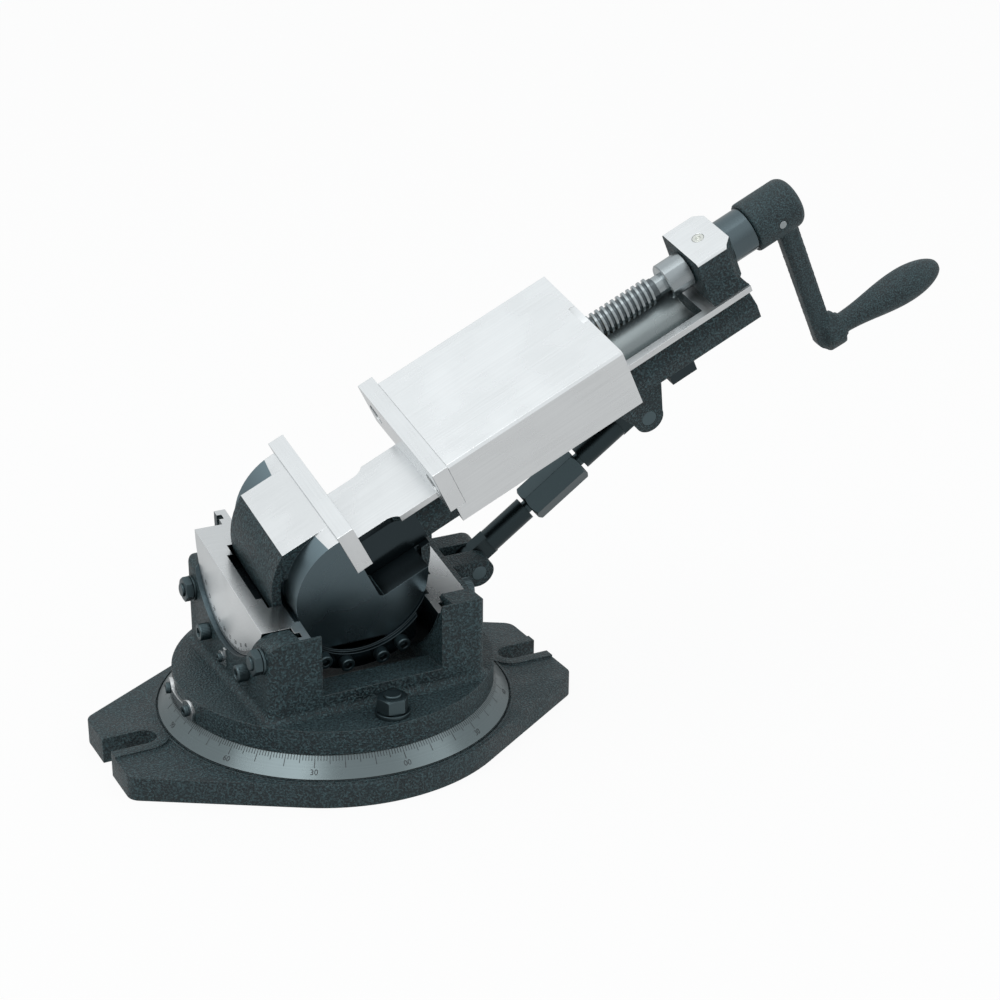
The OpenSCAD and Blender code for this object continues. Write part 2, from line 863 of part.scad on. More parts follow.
module saddle_solid() {
    intersection() {
        union() {
            rod_x(-saddle_half, saddle_half, saddle_r, fn_big);
            for (side = [-1, 1]) {
                x0 = side > 0 ? wing_in : -wing_out;
                rod_x(x0, x0 + wing_out - wing_in, wing_r, fn_big);
            }
            intersection() {
                rod_x(-belly_half, belly_half, belly_r, fn_big);
                block(-belly_half, belly_half, -belly_half, belly_half, -belly_r, 0);
            }
            intersection() {
                translate([0, 0, -pitch_drop]) rod_y(-cheek_y, cheek_y, cheek_r, fn_big);
                block(-belly_half, belly_half, -cheek_y, cheek_y, -belly_r, 0);
            }
        }
        block(-saddle_half, saddle_half, -wing_r, wing_r, -wing_r, -saddle_drop);
    }
}

module saddle_casting() {
    color([0.3, 0.32, 0.33]) in_roll() difference() {
        saddle_solid();
        for (side = [-1, 1]) {
            y0 = side > 0 ? cheek_y : -wing_r - over;
            block(-wing_in, wing_in, y0, y0 + wing_r + over - cheek_y, -wing_r, 0);
        }
        translate([0, 0, -pitch_drop]) {
            rod_y(-drum_half - pass_gap, drum_half + pass_gap, well_r, fn_big);
            rod_y(-cheek_y - over, cheek_y + over, shoe_out_r + run_gap, fn_big);
        }
        block(-well_half, well_half, -drum_half - pass_gap, drum_half + pass_gap, -well_low, 0);
        block(-well_relief, well_relief, -well_relief_y, well_relief_y, -well_low, 0);
        both_ends_x() tube_x(keeper_groove_x, wing_out + over, keeper_tongue_in - tongue_gap,
                             keeper_tongue_out + tongue_gap, fn_big);
        both_sides_y() shoe_screw_places() rod_y(-cheek_y - over, -cheek_y + shoe_screw_in,
                                                shoe_screw_d / 2 + hole_gap, fn_small);
        bracket_screw_places() rod_x(saddle_half - bracket_screw_in, saddle_half + over,
                                     bracket_screw_d / 2 + hole_gap, fn_small);
    }
}

module shoe_screw_places() {
    for (x = shoe_screw_x) {
        translate([x, 0, -pitch_drop - sqrt(shoe_screw_r * shoe_screw_r - x * x)]) children();
    }
}

// Bearing shoe under a trunnion disc: web, tongue and screwed plate
module disc_shoe() {
    difference() {
        union() {
            intersection() {
                translate([0, 0, -pitch_drop])
                    tube_y(-cheek_y - over, -shoe_tongue_y, shoe_in_r, shoe_out_r, fn_big);
                block(-saddle_half, saddle_half, -wing_r, 0, -wing_r, -saddle_drop);
            }
            intersection() {
                translate([0, 0, -pitch_drop])
                    tube_y(-cheek_y - shoe_plate_t, -cheek_y, shoe_in_r + shoe_plate_lip,
                           shoe_plate_r, fn_big);
                block(-shoe_half, shoe_half, -wing_r, 0, -wing_r, -saddle_drop - shoe_plate_drop);
            }
        }
        shoe_screw_places() rod_y(-far_reach, 0, shoe_screw_d / 2 + hole_gap, fn_small);
    }
}

module near_disc_shoe() {
    color([0.4, 0.41, 0.42]) in_roll() disc_shoe();
}

module far_disc_shoe() {
    color([0.4, 0.41, 0.42]) in_roll() mirror([0, 1, 0]) disc_shoe();
}

module disc_shoe_screws() {
    seat = -cheek_y - shoe_plate_t;
    color([0.14, 0.14, 0.15]) in_roll() both_sides_y() shoe_screw_places() {
        rod_y(seat, -cheek_y + shoe_screw_in - over, shoe_screw_d / 2, fn_small);
        rod_y(seat - shoe_head_t, seat, shoe_head_d / 2, fn_small);
    }
}

module bracket_screw_places() {
    for (side = [-1, 1]) {
        translate([0, side * bracket_screw_y, -bracket_screw_z]) children();
    }
}

module brace_bracket() {
    foot = bracket_x + bracket_t;
    color([0.17, 0.2, 0.2]) in_roll() difference() {
        union() {
            intersection() {
                rod_x(bracket_x, foot, bracket_r, fn_big);
                block(bracket_x, foot, -bracket_half, bracket_half, -bracket_r, -bracket_top);
            }
            for (side = [-1, 1]) {
                y0 = side > 0 ? ear_in : -ear_out;
                translate([lower_pin_x, 0, -lower_pin_z]) rod_y(y0, y0 + ear_out - ear_in, ear_r, fn_small);
                block(foot - over, lower_pin_x, y0, y0 + ear_out - ear_in,
                      -lower_pin_z - ear_r, -lower_pin_z + ear_r);
            }
        }
        translate([lower_pin_x, 0, -lower_pin_z])
            rod_y(-far_reach, far_reach, brace_pin_d / 2 + hole_gap, fn_small);
        bracket_screw_places()
            rod_x(bracket_x - over, foot + over, bracket_screw_d / 2 + hole_gap, fn_small);
    }
}

module brace_bracket_screws() {
    seat = bracket_x + bracket_t;
    color([0.14, 0.14, 0.15]) in_roll() bracket_screw_places() {
        rod_x(saddle_half - bracket_screw_in + over, seat, bracket_screw_d / 2, fn_small);
        rod_x(seat, seat + bracket_head_t, bracket_head_d / 2, fn_small);
    }
}

module lower_brace_pin() {
    color([0.55, 0.57, 0.58]) in_roll() translate([lower_pin_x, 0, -lower_pin_z])
        rod_y(-ear_out, ear_out, brace_pin_d / 2, fn_small);
}

// Vise body, in the frame of the pitch axis

module bed_outline() {
    polygon([[-bed_half, bed_z], [bed_half, bed_z], [bed_half, bed_z - way_lip],
             [web_half, bed_z - way_lip], [web_half, web_low], [bed_half, flange_top],
             [bed_half, bed_low], [-bed_half, bed_low], [-bed_half, flange_top],
             [-web_half, web_low], [-web_half, bed_z - way_lip], [-bed_half, bed_z - way_lip]]);
}

module bed_solid() {
    difference() {
        sheet_x(0, bed_end) bed_outline();
        for (side = [-1, 1]) {
            y0 = side > 0 ? neck_half : -bed_half - over;
            block(fixed_x, neck_x, y0, y0 + bed_half + over - neck_half, web_low, bed_z + over);
            translate([neck_x, side * (neck_half + way_round), web_low])
                cylinder(r = way_round, h = far_reach, $fn = fn_small);
        }
        translate([0, 0, bed_z - trough_depth + trough_arc_r])
            rod_x(trough_x0, trough_x1, trough_arc_r, fn_big);
    }
}

module rib_outline() {
    polygon([[rib_x0, bed_low + over], [rib_x0, ear_front_z], [upper_pin_x - ear_r, -upper_pin_z],
             [upper_pin_x + ear_r, -upper_pin_z], [ear_back_x, rib_low],
             [rib_x1, rib_low], [rib_x1, bed_low + over]]);
    translate([upper_pin_x, -upper_pin_z]) circle(r = ear_r, $fn = fn_small);
}

module vise_body() {
    color([0.17, 0.2, 0.2]) in_vise() difference() {
        union() {
            difference() {
                union() {
                    rod_y(-drum_half, drum_half, drum_r, fn_big);
                    rod_y(-disc_half, disc_half, disc_r, fn_big);
                }
                both_sides_y() intersection() {
                    tube_y(-drum_half - over, -drum_groove_y, disc_r, drum_groove_r, fn_big);
                    block(-far_reach, far_reach, -far_reach, far_reach, -far_reach, groove_top);
                }
                block(notch_x + notch_round, far_reach, -far_reach, far_reach, notch_z, far_reach);
                block(notch_x, far_reach, -far_reach, far_reach, notch_z + notch_round, far_reach);
                translate([notch_x + notch_round, 0, notch_z + notch_round])
                    rod_y(-far_reach, far_reach, notch_round, fn_small);
                block(fixed_x, far_reach, -far_reach, far_reach, bed_z, far_reach);
                block(-far_reach, far_reach, -far_reach, far_reach, pad_z, far_reach);
            }
            bed_solid();
            sheet_y(-ear_out, ear_out) rib_outline();
            block(rib_mid, rib_x1, -boss_half, boss_half, rib_low, bed_low + over);
        }
        block(rib_x0 - over, ear_back_x, -ear_in, ear_in, -far_reach, bed_low - over);
        translate([upper_pin_x, 0, -upper_pin_z])
            rod_y(-far_reach, far_reach, brace_pin_d / 2 + hole_gap, fn_small);
        jaw_screw_places()
            rod_x(fixed_x - jaw_screw_in, fixed_x + over, jaw_screw_d / 2 + hole_gap, fn_small);
        block_bolt_places() {
            translate([0, 0, bed_low - over])
                cylinder(r = block_bolt_d / 2 + hole_gap, h = far_reach, $fn = fn_small);
            translate([0, 0, bed_low - over])
                cylinder(r = block_bolt_head_d / 2 + hole_gap, h = block_bolt_seat - bed_low + over,
                         $fn = fn_small);
        }
    }
}

module jaw_screw_places() {
    for (side = [-1, 1]) {
        translate([0, jaw_shift + side * jaw_screw_y, jaw_screw_z]) children();
    }
}

module plate_solid(x0) {
    block(x0, x0 + plate_t, plate_y0, plate_y0 + jaw_w, bed_z, jaw_z);
}

module fixed_jaw_plate() {
    front = fixed_x + plate_t;
    color([0.8, 0.81, 0.82]) in_vise() difference() {
        plate_solid(fixed_x);
        jaw_screw_places() {
            rod_x(fixed_x - over, front + over, jaw_screw_d / 2 + hole_gap, fn_small);
            rod_x(front - jaw_head_t - jaw_head_sunk, front + over, jaw_head_d / 2 + hole_gap, fn_small);
        }
    }
}

module fixed_jaw_screws() {
    seat = fixed_x + plate_t - jaw_head_t - jaw_head_sunk;
    color([0.2, 0.2, 0.21]) in_vise() jaw_screw_places() {
        rod_x(fixed_x - jaw_screw_in + over, seat, jaw_screw_d / 2, fn_small);
        rod_x(seat, seat + jaw_head_t, jaw_head_d / 2, fn_small);
    }
}

module block_bolt_places() {
    for (side = [-1, 1]) {
        translate([block_x + screw_block_len / 2, side * block_bolt_y, 0]) children();
    }
}

module screw_block() {
    corner_cut = 4.5;
    bevel = 1.5;
    color([0.17, 0.2, 0.2]) in_vise() difference() {
        union() {
            sheet_x(block_x, block_x2)
                polygon([[-block_side, bed_z], [block_side, bed_z], [block_side, screw_block_z - bevel],
                         [block_side - bevel, screw_block_z], [bevel - block_side, screw_block_z],
                         [-block_side, screw_block_z - bevel]]);
            sheet_x(block_x, block_x2)
                polygon([[-block_side - foot_flare, bed_z], [block_side + foot_flare, bed_z],
                         [block_side, bed_z + foot_h], [-block_side, bed_z + foot_h]]);
        }
        both_sides_y() translate([block_x2, block_side, bed_z - over]) rotate([0, 0, quarter / 2])
            block(-corner_cut, corner_cut, -corner_cut, corner_cut, 0, far_reach);
        translate([0, 0, screw_z]) rod_x(block_x - over, block_x2 + over, journal_d / 2 + run_gap, fn_small);
        block_bolt_places() translate([0, 0, bed_z - over])
            cylinder(r = block_bolt_d / 2 + hole_gap, h = block_bolt_in + over, $fn = fn_small);
        translate([block_x + screw_block_len / 2, 0, screw_block_z - oiler_len])
            cylinder(r = oiler_d / 2 + hole_gap, h = far_reach, $fn = fn_small);
    }
}

module screw_block_bolts() {
    color([0.14, 0.14, 0.15]) in_vise() block_bolt_places() {
        translate([0, 0, block_bolt_seat])
            cylinder(r = block_bolt_d / 2, h = bed_z + block_bolt_in - over - block_bolt_seat,
                     $fn = fn_small);
        translate([0, 0, block_bolt_seat - block_bolt_head_t])
            cylinder(r = block_bolt_head_d / 2, h = block_bolt_head_t, $fn = fn_small);
    }
}

module ball_oiler() {
    color([0.75, 0.76, 0.7]) in_vise()
        translate([block_x + screw_block_len / 2, 0, screw_block_z - oiler_len]) difference() {
            cylinder(r = oiler_d / 2, h = oiler_len, $fn = fn_small);
            translate([0, 0, oiler_len - oiler_rim])
                cylinder(r = oiler_ball_d / 2, h = far_reach, $fn = fn_small);
        }
}

module upper_brace_pin() {
    color([0.55, 0.57, 0.58]) in_vise() translate([upper_pin_x, 0, -upper_pin_z])
        rod_y(-ear_out, ear_out, brace_pin_d / 2, fn_small);
}

// Movable jaw

module block_outline() {
    b = block_bevel;
    polygon([[-block_half, skirt_z], [-block_half, jaw_z - b], [b - block_half, jaw_z],
             [block_half - b, jaw_z], [block_half, jaw_z - b], [block_half, skirt_z],
             [strip_out + hole_gap, skirt_z], [strip_out + hole_gap, strip_top],
             [channel_half, strip_top], [channel_half, bed_z + run_gap],
             [-channel_half, bed_z + run_gap], [-channel_half, strip_top],
             [-strip_out - hole_gap, strip_top], [-strip_out - hole_gap, skirt_z]]);
}

module strip_screw_places() {
    step = (strip_len - 2 * strip_gap) / (strip_screws - 1);
    for (i = [0:strip_screws - 1]) {
        translate([block_x0 + 2 * strip_gap + i * step, -strip_screw_y, 0]) children();
    }
}

module movable_jaw() {
    color([0.8, 0.81, 0.82]) in_vise() difference() {
        union() {
            sheet_x(block_x0, block_x1) block_outline();
            difference() {
                block(block_x0 - ledge, block_x0 + over, -block_half, block_half, skirt_z, bed_z);
                block(-far_reach, far_reach, -channel_half, channel_half, -far_reach, far_reach);
            }
        }
        translate([0, 0, screw_z]) {
            rod_x(-far_reach, far_reach, bore_d / 2, fn_small);
            rod_x(block_x1 - nut_len, far_reach, nut_d / 2 + hole_gap, fn_small);
            rod_x(block_x1 - nut_flange_t, far_reach, nut_flange_d / 2 + hole_gap, fn_small);
        }
        jaw_screw_places()
            rod_x(block_x0 - over, block_x0 + jaw_screw_in, jaw_screw_d / 2 + hole_gap, fn_small);
        both_sides_y() strip_screw_places() translate([0, 0, strip_top - over])
            cylinder(r = strip_screw_d / 2 + hole_gap, h = strip_screw_in + over, $fn = fn_small);
    }
}

module movable_jaw_plate() {
    color([0.8, 0.81, 0.82]) in_vise() difference() {
        plate_solid(plate_x);
        jaw_screw_places() {
            rod_x(plate_x - over, block_x0 + over, jaw_screw_d / 2 + hole_gap, fn_small);
            rod_x(plate_x - over, plate_x + jaw_head_t + jaw_head_sunk, jaw_head_d / 2 + hole_gap, fn_small);
        }
    }
}

module movable_jaw_screws() {
    seat = plate_x + jaw_head_t + jaw_head_sunk;
    color([0.2, 0.2, 0.21]) in_vise() jaw_screw_places() {
        rod_x(seat, block_x0 + jaw_screw_in - over, jaw_screw_d / 2, fn_small);
        rod_x(seat - jaw_head_t, seat, jaw_head_d / 2, fn_small);
    }
}

module hold_down() {
    x0 = block_x0 + strip_gap;
    difference() {
        block(x0, x0 + strip_len, -strip_out, -strip_in, strip_low, strip_top);
        strip_screw_places() {
            translate([0, 0, strip_low - over])
                cylinder(r = strip_screw_d / 2 + hole_gap, h = far_reach, $fn = fn_small);
            translate([0, 0, strip_low - over])
                cylinder(r = strip_head_d / 2 + hole_gap, h = strip_head_t + over, $fn = fn_small);
        }
    }
}

module near_hold_down() {
    color([0.45, 0.46, 0.47]) in_vise() hold_down();
}

module far_hold_down() {
    color([0.45, 0.46, 0.47]) in_vise() mirror([0, 1, 0]) hold_down();
}

module hold_down_screws() {
    color([0.14, 0.14, 0.15]) in_vise() both_sides_y() strip_screw_places() {
        translate([0, 0, strip_low + strip_head_t])
            cylinder(r = strip_screw_d / 2, h = strip_top + strip_screw_in - over - strip_low - strip_head_t,
                     $fn = fn_small);
        translate([0, 0, strip_low]) cylinder(r = strip_head_d / 2, h = strip_head_t, $fn = fn_small);
    }
}

module jaw_nut() {
    color([0.72, 0.55, 0.28]) in_vise() translate([0, 0, screw_z]) difference() {
        union() {
            rod_x(block_x1 - nut_len, block_x1, nut_d / 2, fn_small);
            rod_x(block_x1 - nut_flange_t, block_x1, nut_flange_d / 2, fn_small);
        }
        rod_x(block_x1 - nut_len - over, block_x1 + over, screw_d / 2 + run_gap, fn_small);
    }
}

// Screw, collar and crank

module lead_screw() {
    root_r = screw_d / 2 - thread_depth;
    turns = floor((thread_x1 - thread_x0 - tip_len) / screw_pitch);
    flat = screw_pitch * (1 - groove_share);
    color([0.7, 0.72, 0.73]) in_vise() translate([0, 0, screw_z]) {
        rod_x(thread_x0, thread_x0 + tip_len + over, tip_d / 2, fn_small);
        rod_x(thread_x0 + tip_len, thread_x1 - over, root_r, fn_small);
        for (i = [0:turns - 1]) {
            x0 = thread_x0 + tip_len + i * screw_pitch;
            rod_x(x0, x0 + flat, screw_d / 2, fn_small);
        }
        rod_x(thread_x1 - over, collar_x0 + over, neck_d / 2, fn_small);
        rod_x(collar_x0, block_x - collar_gap, collar_d / 2, fn_small);
        rod_x(block_x - collar_gap - over, rear_x + rear_collar_t, journal_d / 2, fn_small);
        difference() {
            rod_x(rear_x, shank_end, journal_d / 2, fn_small);
            translate([pin_x, 0, 0]) rod_y(-far_reach, far_reach, pin_d / 2 + hole_gap, fn_small);
        }
    }
}

module set_screw_place() {
    rotate([set_screw_deg, 0, 0]) translate([rear_x + rear_collar_t / 2, 0, 0]) children();
}

module rear_collar() {
    color([0.7, 0.72, 0.73]) in_vise() translate([0, 0, screw_z]) difference() {
        rod_x(rear_x, rear_x + rear_collar_t, rear_collar_d / 2, fn_small);
        rod_x(rear_x - over, rear_x + rear_collar_t + over, journal_d / 2 + hole_gap, fn_small);
        set_screw_place() cylinder(r = set_screw_d / 2 + hole_gap, h = rear_collar_d, $fn = fn_small);
    }
}

module collar_set_screw() {
    seat = journal_d / 2 + hole_gap;
    color([0.14, 0.14, 0.15]) in_vise() translate([0, 0, screw_z]) set_screw_place()
        translate([0, 0, seat]) cylinder(r = set_screw_d / 2, h = set_screw_len, $fn = fn_small);
}

// Radius of the grip at a share of its length, swelling to the outer third and rounding at the tip
function grip_r(s) = s < grip_tip_share
    ? grip_neck_r + (grip_swell_r - grip_neck_r) * (1 - cos(half_turn * s / grip_tip_share)) / 2
    : grip_swell_r * sqrt(max(0, 1 - pow((s - grip_tip_share) / (1 - grip_tip_share), 2)));

module grip() {
    rotate_extrude($fn = fn_small)
        polygon(concat([[0, 0]],
                       [for (i = [0:grip_steps - 1]) [grip_r(i / grip_steps), grip_len * i / grip_steps]],
                       [[0, grip_len]]));
}

// Side outline of the arm from the screw axis down to its rounded elbow
module arm_outline(inset) {
    foot_x = arm_x + arm_lean;
    low = elbow_z - elbow_round;
    polygon([[arm_x + inset, 0], [arm_x + arm_w - inset, 0], [foot_x + arm_foot_w - inset, elbow_z],
             [foot_x + inset, elbow_z]]);
    intersection() {
        translate([foot_x + elbow_round, elbow_z]) circle(r = elbow_round - inset, $fn = fn_small);
        translate([foot_x, low]) square([arm_foot_w - inset, elbow_round + over]);
    }
}

module crank_handle() {
    hub_r = hub_d / 2;
    arm_end = arm_x + arm_lean + arm_foot_w;
    color([0.17, 0.2, 0.2]) in_vise() translate([0, 0, screw_z]) difference() {
        rotate([-crank_turn_deg, 0, 0]) {
            translate([hub_x, 0, 0]) rotate([0, quarter, 0]) rotate_extrude($fn = fn_small) {
                square([hub_r - hub_round, hub_len]);
                square([hub_r, hub_len - hub_round]);
                translate([hub_r - hub_round, hub_len - hub_round]) circle(r = hub_round, $fn = fn_small);
            }
            sheet_y(-arm_t / 2 + arm_bevel, arm_t / 2 - arm_bevel) arm_outline(0);
            sheet_y(-arm_t / 2, arm_t / 2) arm_outline(arm_bevel);
            translate([arm_end - over, 0, elbow_z]) rotate([0, grip_deg, 0]) {
                rod_x(-grip_foot, boss_len - boss_round, boss_d / 2, fn_small);
                rod_x(-grip_foot, boss_len, boss_d / 2 - boss_round, fn_small);
                translate([boss_len - over, 0, 0]) rotate([0, quarter, 0]) grip();
            }
        }
        rod_x(hub_x - over, shank_end + over, journal_d / 2 + hole_gap, fn_small);
        translate([pin_x, 0, 0]) rod_y(-far_reach, far_reach, pin_d / 2 + hole_gap, fn_small);
    }
}

module crank_pin() {
    pin_half = hub_d / 2 - pass_gap;
    color([0.3, 0.31, 0.32]) in_vise() translate([pin_x, 0, screw_z])
        rod_y(-pin_half, pin_half, pin_d / 2, fn_small);
}

// Brace, along its own line from the lower pin

module brace_tube(bore) {
    difference() {
        union() {
            rod_y(-brace_tang_t / 2, brace_tang_t / 2, brace_eye_r, fn_small);
            block(0, tang_len + over, -brace_tang_t / 2, brace_tang_t / 2, -tube_d / 2, tube_d / 2);
            rod_x(tang_len, tube_len, tube_d / 2, fn_small);
        }
        rod_y(-far_reach, far_reach, brace_pin_d / 2 + run_gap, fn_small);
        rod_x(tube_len - tube_bore, far_reach, bore / 2, fn_small);
    }
}

module brace_lower_tube() {
    color([0.2, 0.22, 0.22]) in_brace() brace_tube(lower_bore_d);
}

module brace_hex_adjuster() {
    span = hex_len / 2 + stud_reach;
    color([0.17, 0.19, 0.2]) in_brace() translate([hex_mid, 0, 0]) {
        intersection() {
            translate([-hex_len / 2, 0, 0]) rotate([0, quarter, 0])
                rotate([0, 0, hex_turn_deg]) hex_prism(hex_af, hex_len);
            rotate([0, quarter, 0]) translate([0, 0, -hex_len / 2]) rotate_extrude($fn = fn_small)
                polygon([[0, 0], [hex_af / 2 - hex_face_in, 0], [hex_af / 2 + hex_bevel, hex_bevel],
                         [hex_af / 2 + hex_bevel, hex_len - hex_bevel], [hex_af / 2 - hex_face_in, hex_len],
                         [0, hex_len]]);
        }
        rod_x(-span, span, brace_stud_d / 2, fn_small);
    }
}

module brace_upper_tube() {
    color([0.2, 0.22, 0.22]) in_brace() translate([brace_len, 0, 0]) rotate([0, half_turn, 0])
        brace_tube(upper_bore_d);
}

base_casting();
swivel_scale_ring();
turntable_cradle();
vernier_plate();
vernier_screws();
swivel_clamp_bolts();
swivel_clamp_washers();
swivel_clamp_nuts();
left_roll_keeper();
right_roll_keeper();
roll_keeper_screws();
roll_lock_studs();
roll_lock_washers();
roll_lock_nuts();
roll_pointer();
roll_pointer_screw();
saddle_casting();
near_disc_shoe();
far_disc_shoe();
disc_shoe_screws();
brace_bracket();
brace_bracket_screws();
lower_brace_pin();
vise_body();
fixed_jaw_plate();
fixed_jaw_screws();
screw_block();
screw_block_bolts();
ball_oiler();
upper_brace_pin();
movable_jaw();
movable_jaw_plate();
movable_jaw_screws();
near_hold_down();
far_hold_down();
hold_down_screws();
jaw_nut();
lead_screw();
rear_collar();
collar_set_screw();
crank_handle();
crank_pin();
brace_lower_tube();
brace_hex_adjuster();
brace_upper_tube();
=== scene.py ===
"""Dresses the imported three-axis machine vise with its finishes and fine detail"""

import math

import bmesh
import bpy
from bpy.props import FloatProperty, FloatVectorProperty, IntProperty, PointerProperty
from mathutils import Matrix, Vector


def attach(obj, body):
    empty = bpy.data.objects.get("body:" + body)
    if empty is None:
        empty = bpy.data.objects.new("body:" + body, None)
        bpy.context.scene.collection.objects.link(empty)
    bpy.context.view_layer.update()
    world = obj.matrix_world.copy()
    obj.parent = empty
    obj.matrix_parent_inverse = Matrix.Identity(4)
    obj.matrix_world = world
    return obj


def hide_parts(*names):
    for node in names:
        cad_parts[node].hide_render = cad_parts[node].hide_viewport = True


bl_info = {
    "name": "Three-axis machine vise",
    "version": (1, 0, 0),
    "blender": (4, 5, 0),
    "location": "3D View > Sidebar > Vise",
    "description": "Finishes, scales, threads and fasteners of a three-axis machine vise",
    "category": "Object",
}

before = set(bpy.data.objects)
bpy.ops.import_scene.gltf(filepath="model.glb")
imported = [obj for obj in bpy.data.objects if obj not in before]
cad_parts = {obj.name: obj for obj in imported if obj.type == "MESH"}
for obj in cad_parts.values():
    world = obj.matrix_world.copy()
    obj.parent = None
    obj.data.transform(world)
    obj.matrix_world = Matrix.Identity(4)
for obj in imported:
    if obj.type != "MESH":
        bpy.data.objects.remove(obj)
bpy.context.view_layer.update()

MM = 0.001
TURN = 2 * math.pi
X, Y, Z = Vector((1, 0, 0)), Vector((0, 1, 0)), Vector((0, 0, 1))

# Frames of the moving parts at rest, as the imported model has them
roll_z, roll_angle = 113 * MM, math.radians(13)
pitch_drop, pitch_angle = 2.5 * MM, math.radians(28.7)
base_frame = Matrix()
roll_frame = Matrix.Translation((0, 0, roll_z)) @ Matrix.Rotation(roll_angle, 4, "X")
vise_frame = (
    roll_frame
    @ Matrix.Translation((0, 0, -pitch_drop))
    @ Matrix.Rotation(-pitch_angle, 4, "Y")
)
screw_height = 27.8 * MM
screw_frame = vise_frame @ Matrix.Translation((0, 0, screw_height))


def colour_setting(name, description, default):
    return FloatVectorProperty(
        name=name, description=description, subtype="COLOR", min=0, max=1, default=default
    )


def length_setting(name, description, default, low, high):
    """A length whose default and limits are given in millimetres"""
    return FloatProperty(
        name=name,
        description=description,
        unit="LENGTH",
        default=default * MM,
        min=low * MM,
        max=high * MM,
    )


def angle_setting(name, description, degrees):
    return FloatProperty(
        name=name, description=description, subtype="ANGLE", default=math.radians(degrees)
    )


class CastingSettings(bpy.types.PropertyGroup):
    """Painted iron castings"""

    paint: colour_setting(
        "Paint", "Colour of the paint on the castings", (0.0035, 0.0105, 0.0135)
    )
    paint_light: colour_setting(
        "Paint on the grains", "Colour of the paint on the sand grains", (0.046, 0.092, 0.104)
    )
    grain: length_setting("Grain", "Size of the sand grains in the cast skin", 1.25, 0.2, 5)
    relief: length_setting("Relief", "Height of the sand grains", 0.65, 0, 1)
    edge: length_setting("Edge radius", "Rounding of the castings' outer edges", 1.2, 0.1, 3)


class SteelSettings(bpy.types.PropertyGroup):
    """Ground, turned and blackened steel"""

    ground: colour_setting("Ground steel", "Colour of the ground faces", (0.8, 0.825, 0.835))
    turned: colour_setting(
        "Turned steel", "Colour of the screw and its collars", (0.36, 0.4, 0.415)
    )
    iron: colour_setting(
        "Machined iron", "Colour of the dark machined faces", (0.125, 0.17, 0.19)
    )
    black: colour_setting(
        "Black oxide", "Colour of the blackened fasteners", (0.075, 0.105, 0.115)
    )
    scratches: length_setting(
        "Scratches", "Depth of the grinding lines and scratches", 0.006, 0, 0.1
    )


class ScaleSettings(bpy.types.PropertyGroup):
    """Graduations of the swivel and roll scales"""

    short_tick: length_setting("Degree line", "Length of the line for each degree", 3.7, 1, 10)
    five_tick: length_setting(
        "Five-degree line", "Length of the line for every fifth degree", 5.2, 1, 10
    )
    ten_tick: length_setting(
        "Ten-degree line", "Length of the line for every tenth degree", 7.8, 1, 12
    )
    line: length_setting("Line width", "Width of the engraved lines", 0.42, 0.05, 1)
    numeral: length_setting(
        "Numeral height", "Height of the numbers on the swivel scale", 3.3, 1, 8
    )
    ink: colour_setting("Ink", "Colour in the engraved lines", (0.012, 0.015, 0.017))


class StageSettings(bpy.types.PropertyGroup):
    """Floor, lamps and camera"""

    floor: colour_setting("Floor", "Colour of the floor", (0.72, 0.73, 0.73))
    sky: FloatProperty(
        name="Room light",
        description="Strength of the light from all round",
        default=0.72,
        min=0,
        max=2,
    )
    key: FloatProperty(
        name="Key lamp",
        description="Power of the large lamp above",
        unit="POWER",
        default=9,
        min=0,
        max=500,
    )
    fill: FloatProperty(
        name="Fill lamp",
        description="Power of the lamp beside the camera",
        unit="POWER",
        default=4,
        min=0,
        max=500,
    )
    camera_place: FloatVectorProperty(
        name="Camera place",
        description="Where the camera stands",
        subtype="TRANSLATION",
        unit="LENGTH",
        default=(-0.41674, -0.98206, 0.5692),
    )
    azimuth: angle_setting("Azimuth", "Direction that the camera looks in, from +Y", -28.182)
    elevation: angle_setting("Elevation", "How far the camera looks down", 22.077)
    tilt: angle_setting("Tilt", "Turn of the camera about its view", 0.448)
    lens: FloatProperty(
        name="Lens",
        description="Focal length in millimetres on a 36 mm frame",
        default=73.03,
        min=10,
        max=300,
    )


class ViseSettings(bpy.types.PropertyGroup):
    """All sizes and colours of the vise's dressing"""

    casting: PointerProperty(type=CastingSettings)
    steel: PointerProperty(type=SteelSettings)
    scale: PointerProperty(type=ScaleSettings)
    stage: PointerProperty(type=StageSettings)
    facets: IntProperty(
        name="Facets",
        description="Sides of the round details",
        default=48,
        min=12,
        max=128,
    )


def settings():
    return bpy.context.scene.vise_settings


def add_object(name, data):
    thing = bpy.data.objects.new(name, data)
    bpy.context.scene.collection.objects.link(thing)
    return thing


# Shader graphs


def put(tree, kind, props=None, **inputs):
    """Adds a node, and sets or links its inputs by name, or by place as i0, i1"""
    node = tree.nodes.new("ShaderNode" + kind)
    for key, value in (props or {}).items():
        setattr(node, key, value)
    for key, value in inputs.items():
        if key[0] == "i" and key[1:].isdigit():
            socket = node.inputs[int(key[1:])]
        else:
            socket = node.inputs[key.replace("_", " ")]
        if isinstance(value, bpy.types.NodeSocket):
            tree.links.new(value, socket)
        else:
            socket.default_value = value
    return node


def calc(tree, operation, *values):
    """A Math node on one, two or three values"""
    inputs = {f"i{k}": v for k, v in enumerate(values)}
    return put(tree, "Math", {"operation": operation}, **inputs).outputs[0]


def vector_calc(tree, operation, *values):
    """A Vector Math node on one, two or three vectors"""
    inputs = {f"i{k}": v for k, v in enumerate(values)}
    return put(tree, "VectorMath", {"operation": operation}, **inputs).outputs


def noise(tree, vector, scale, detail):
    return put(tree, "TexNoise", Vector=vector, Scale=scale, Detail=detail).outputs


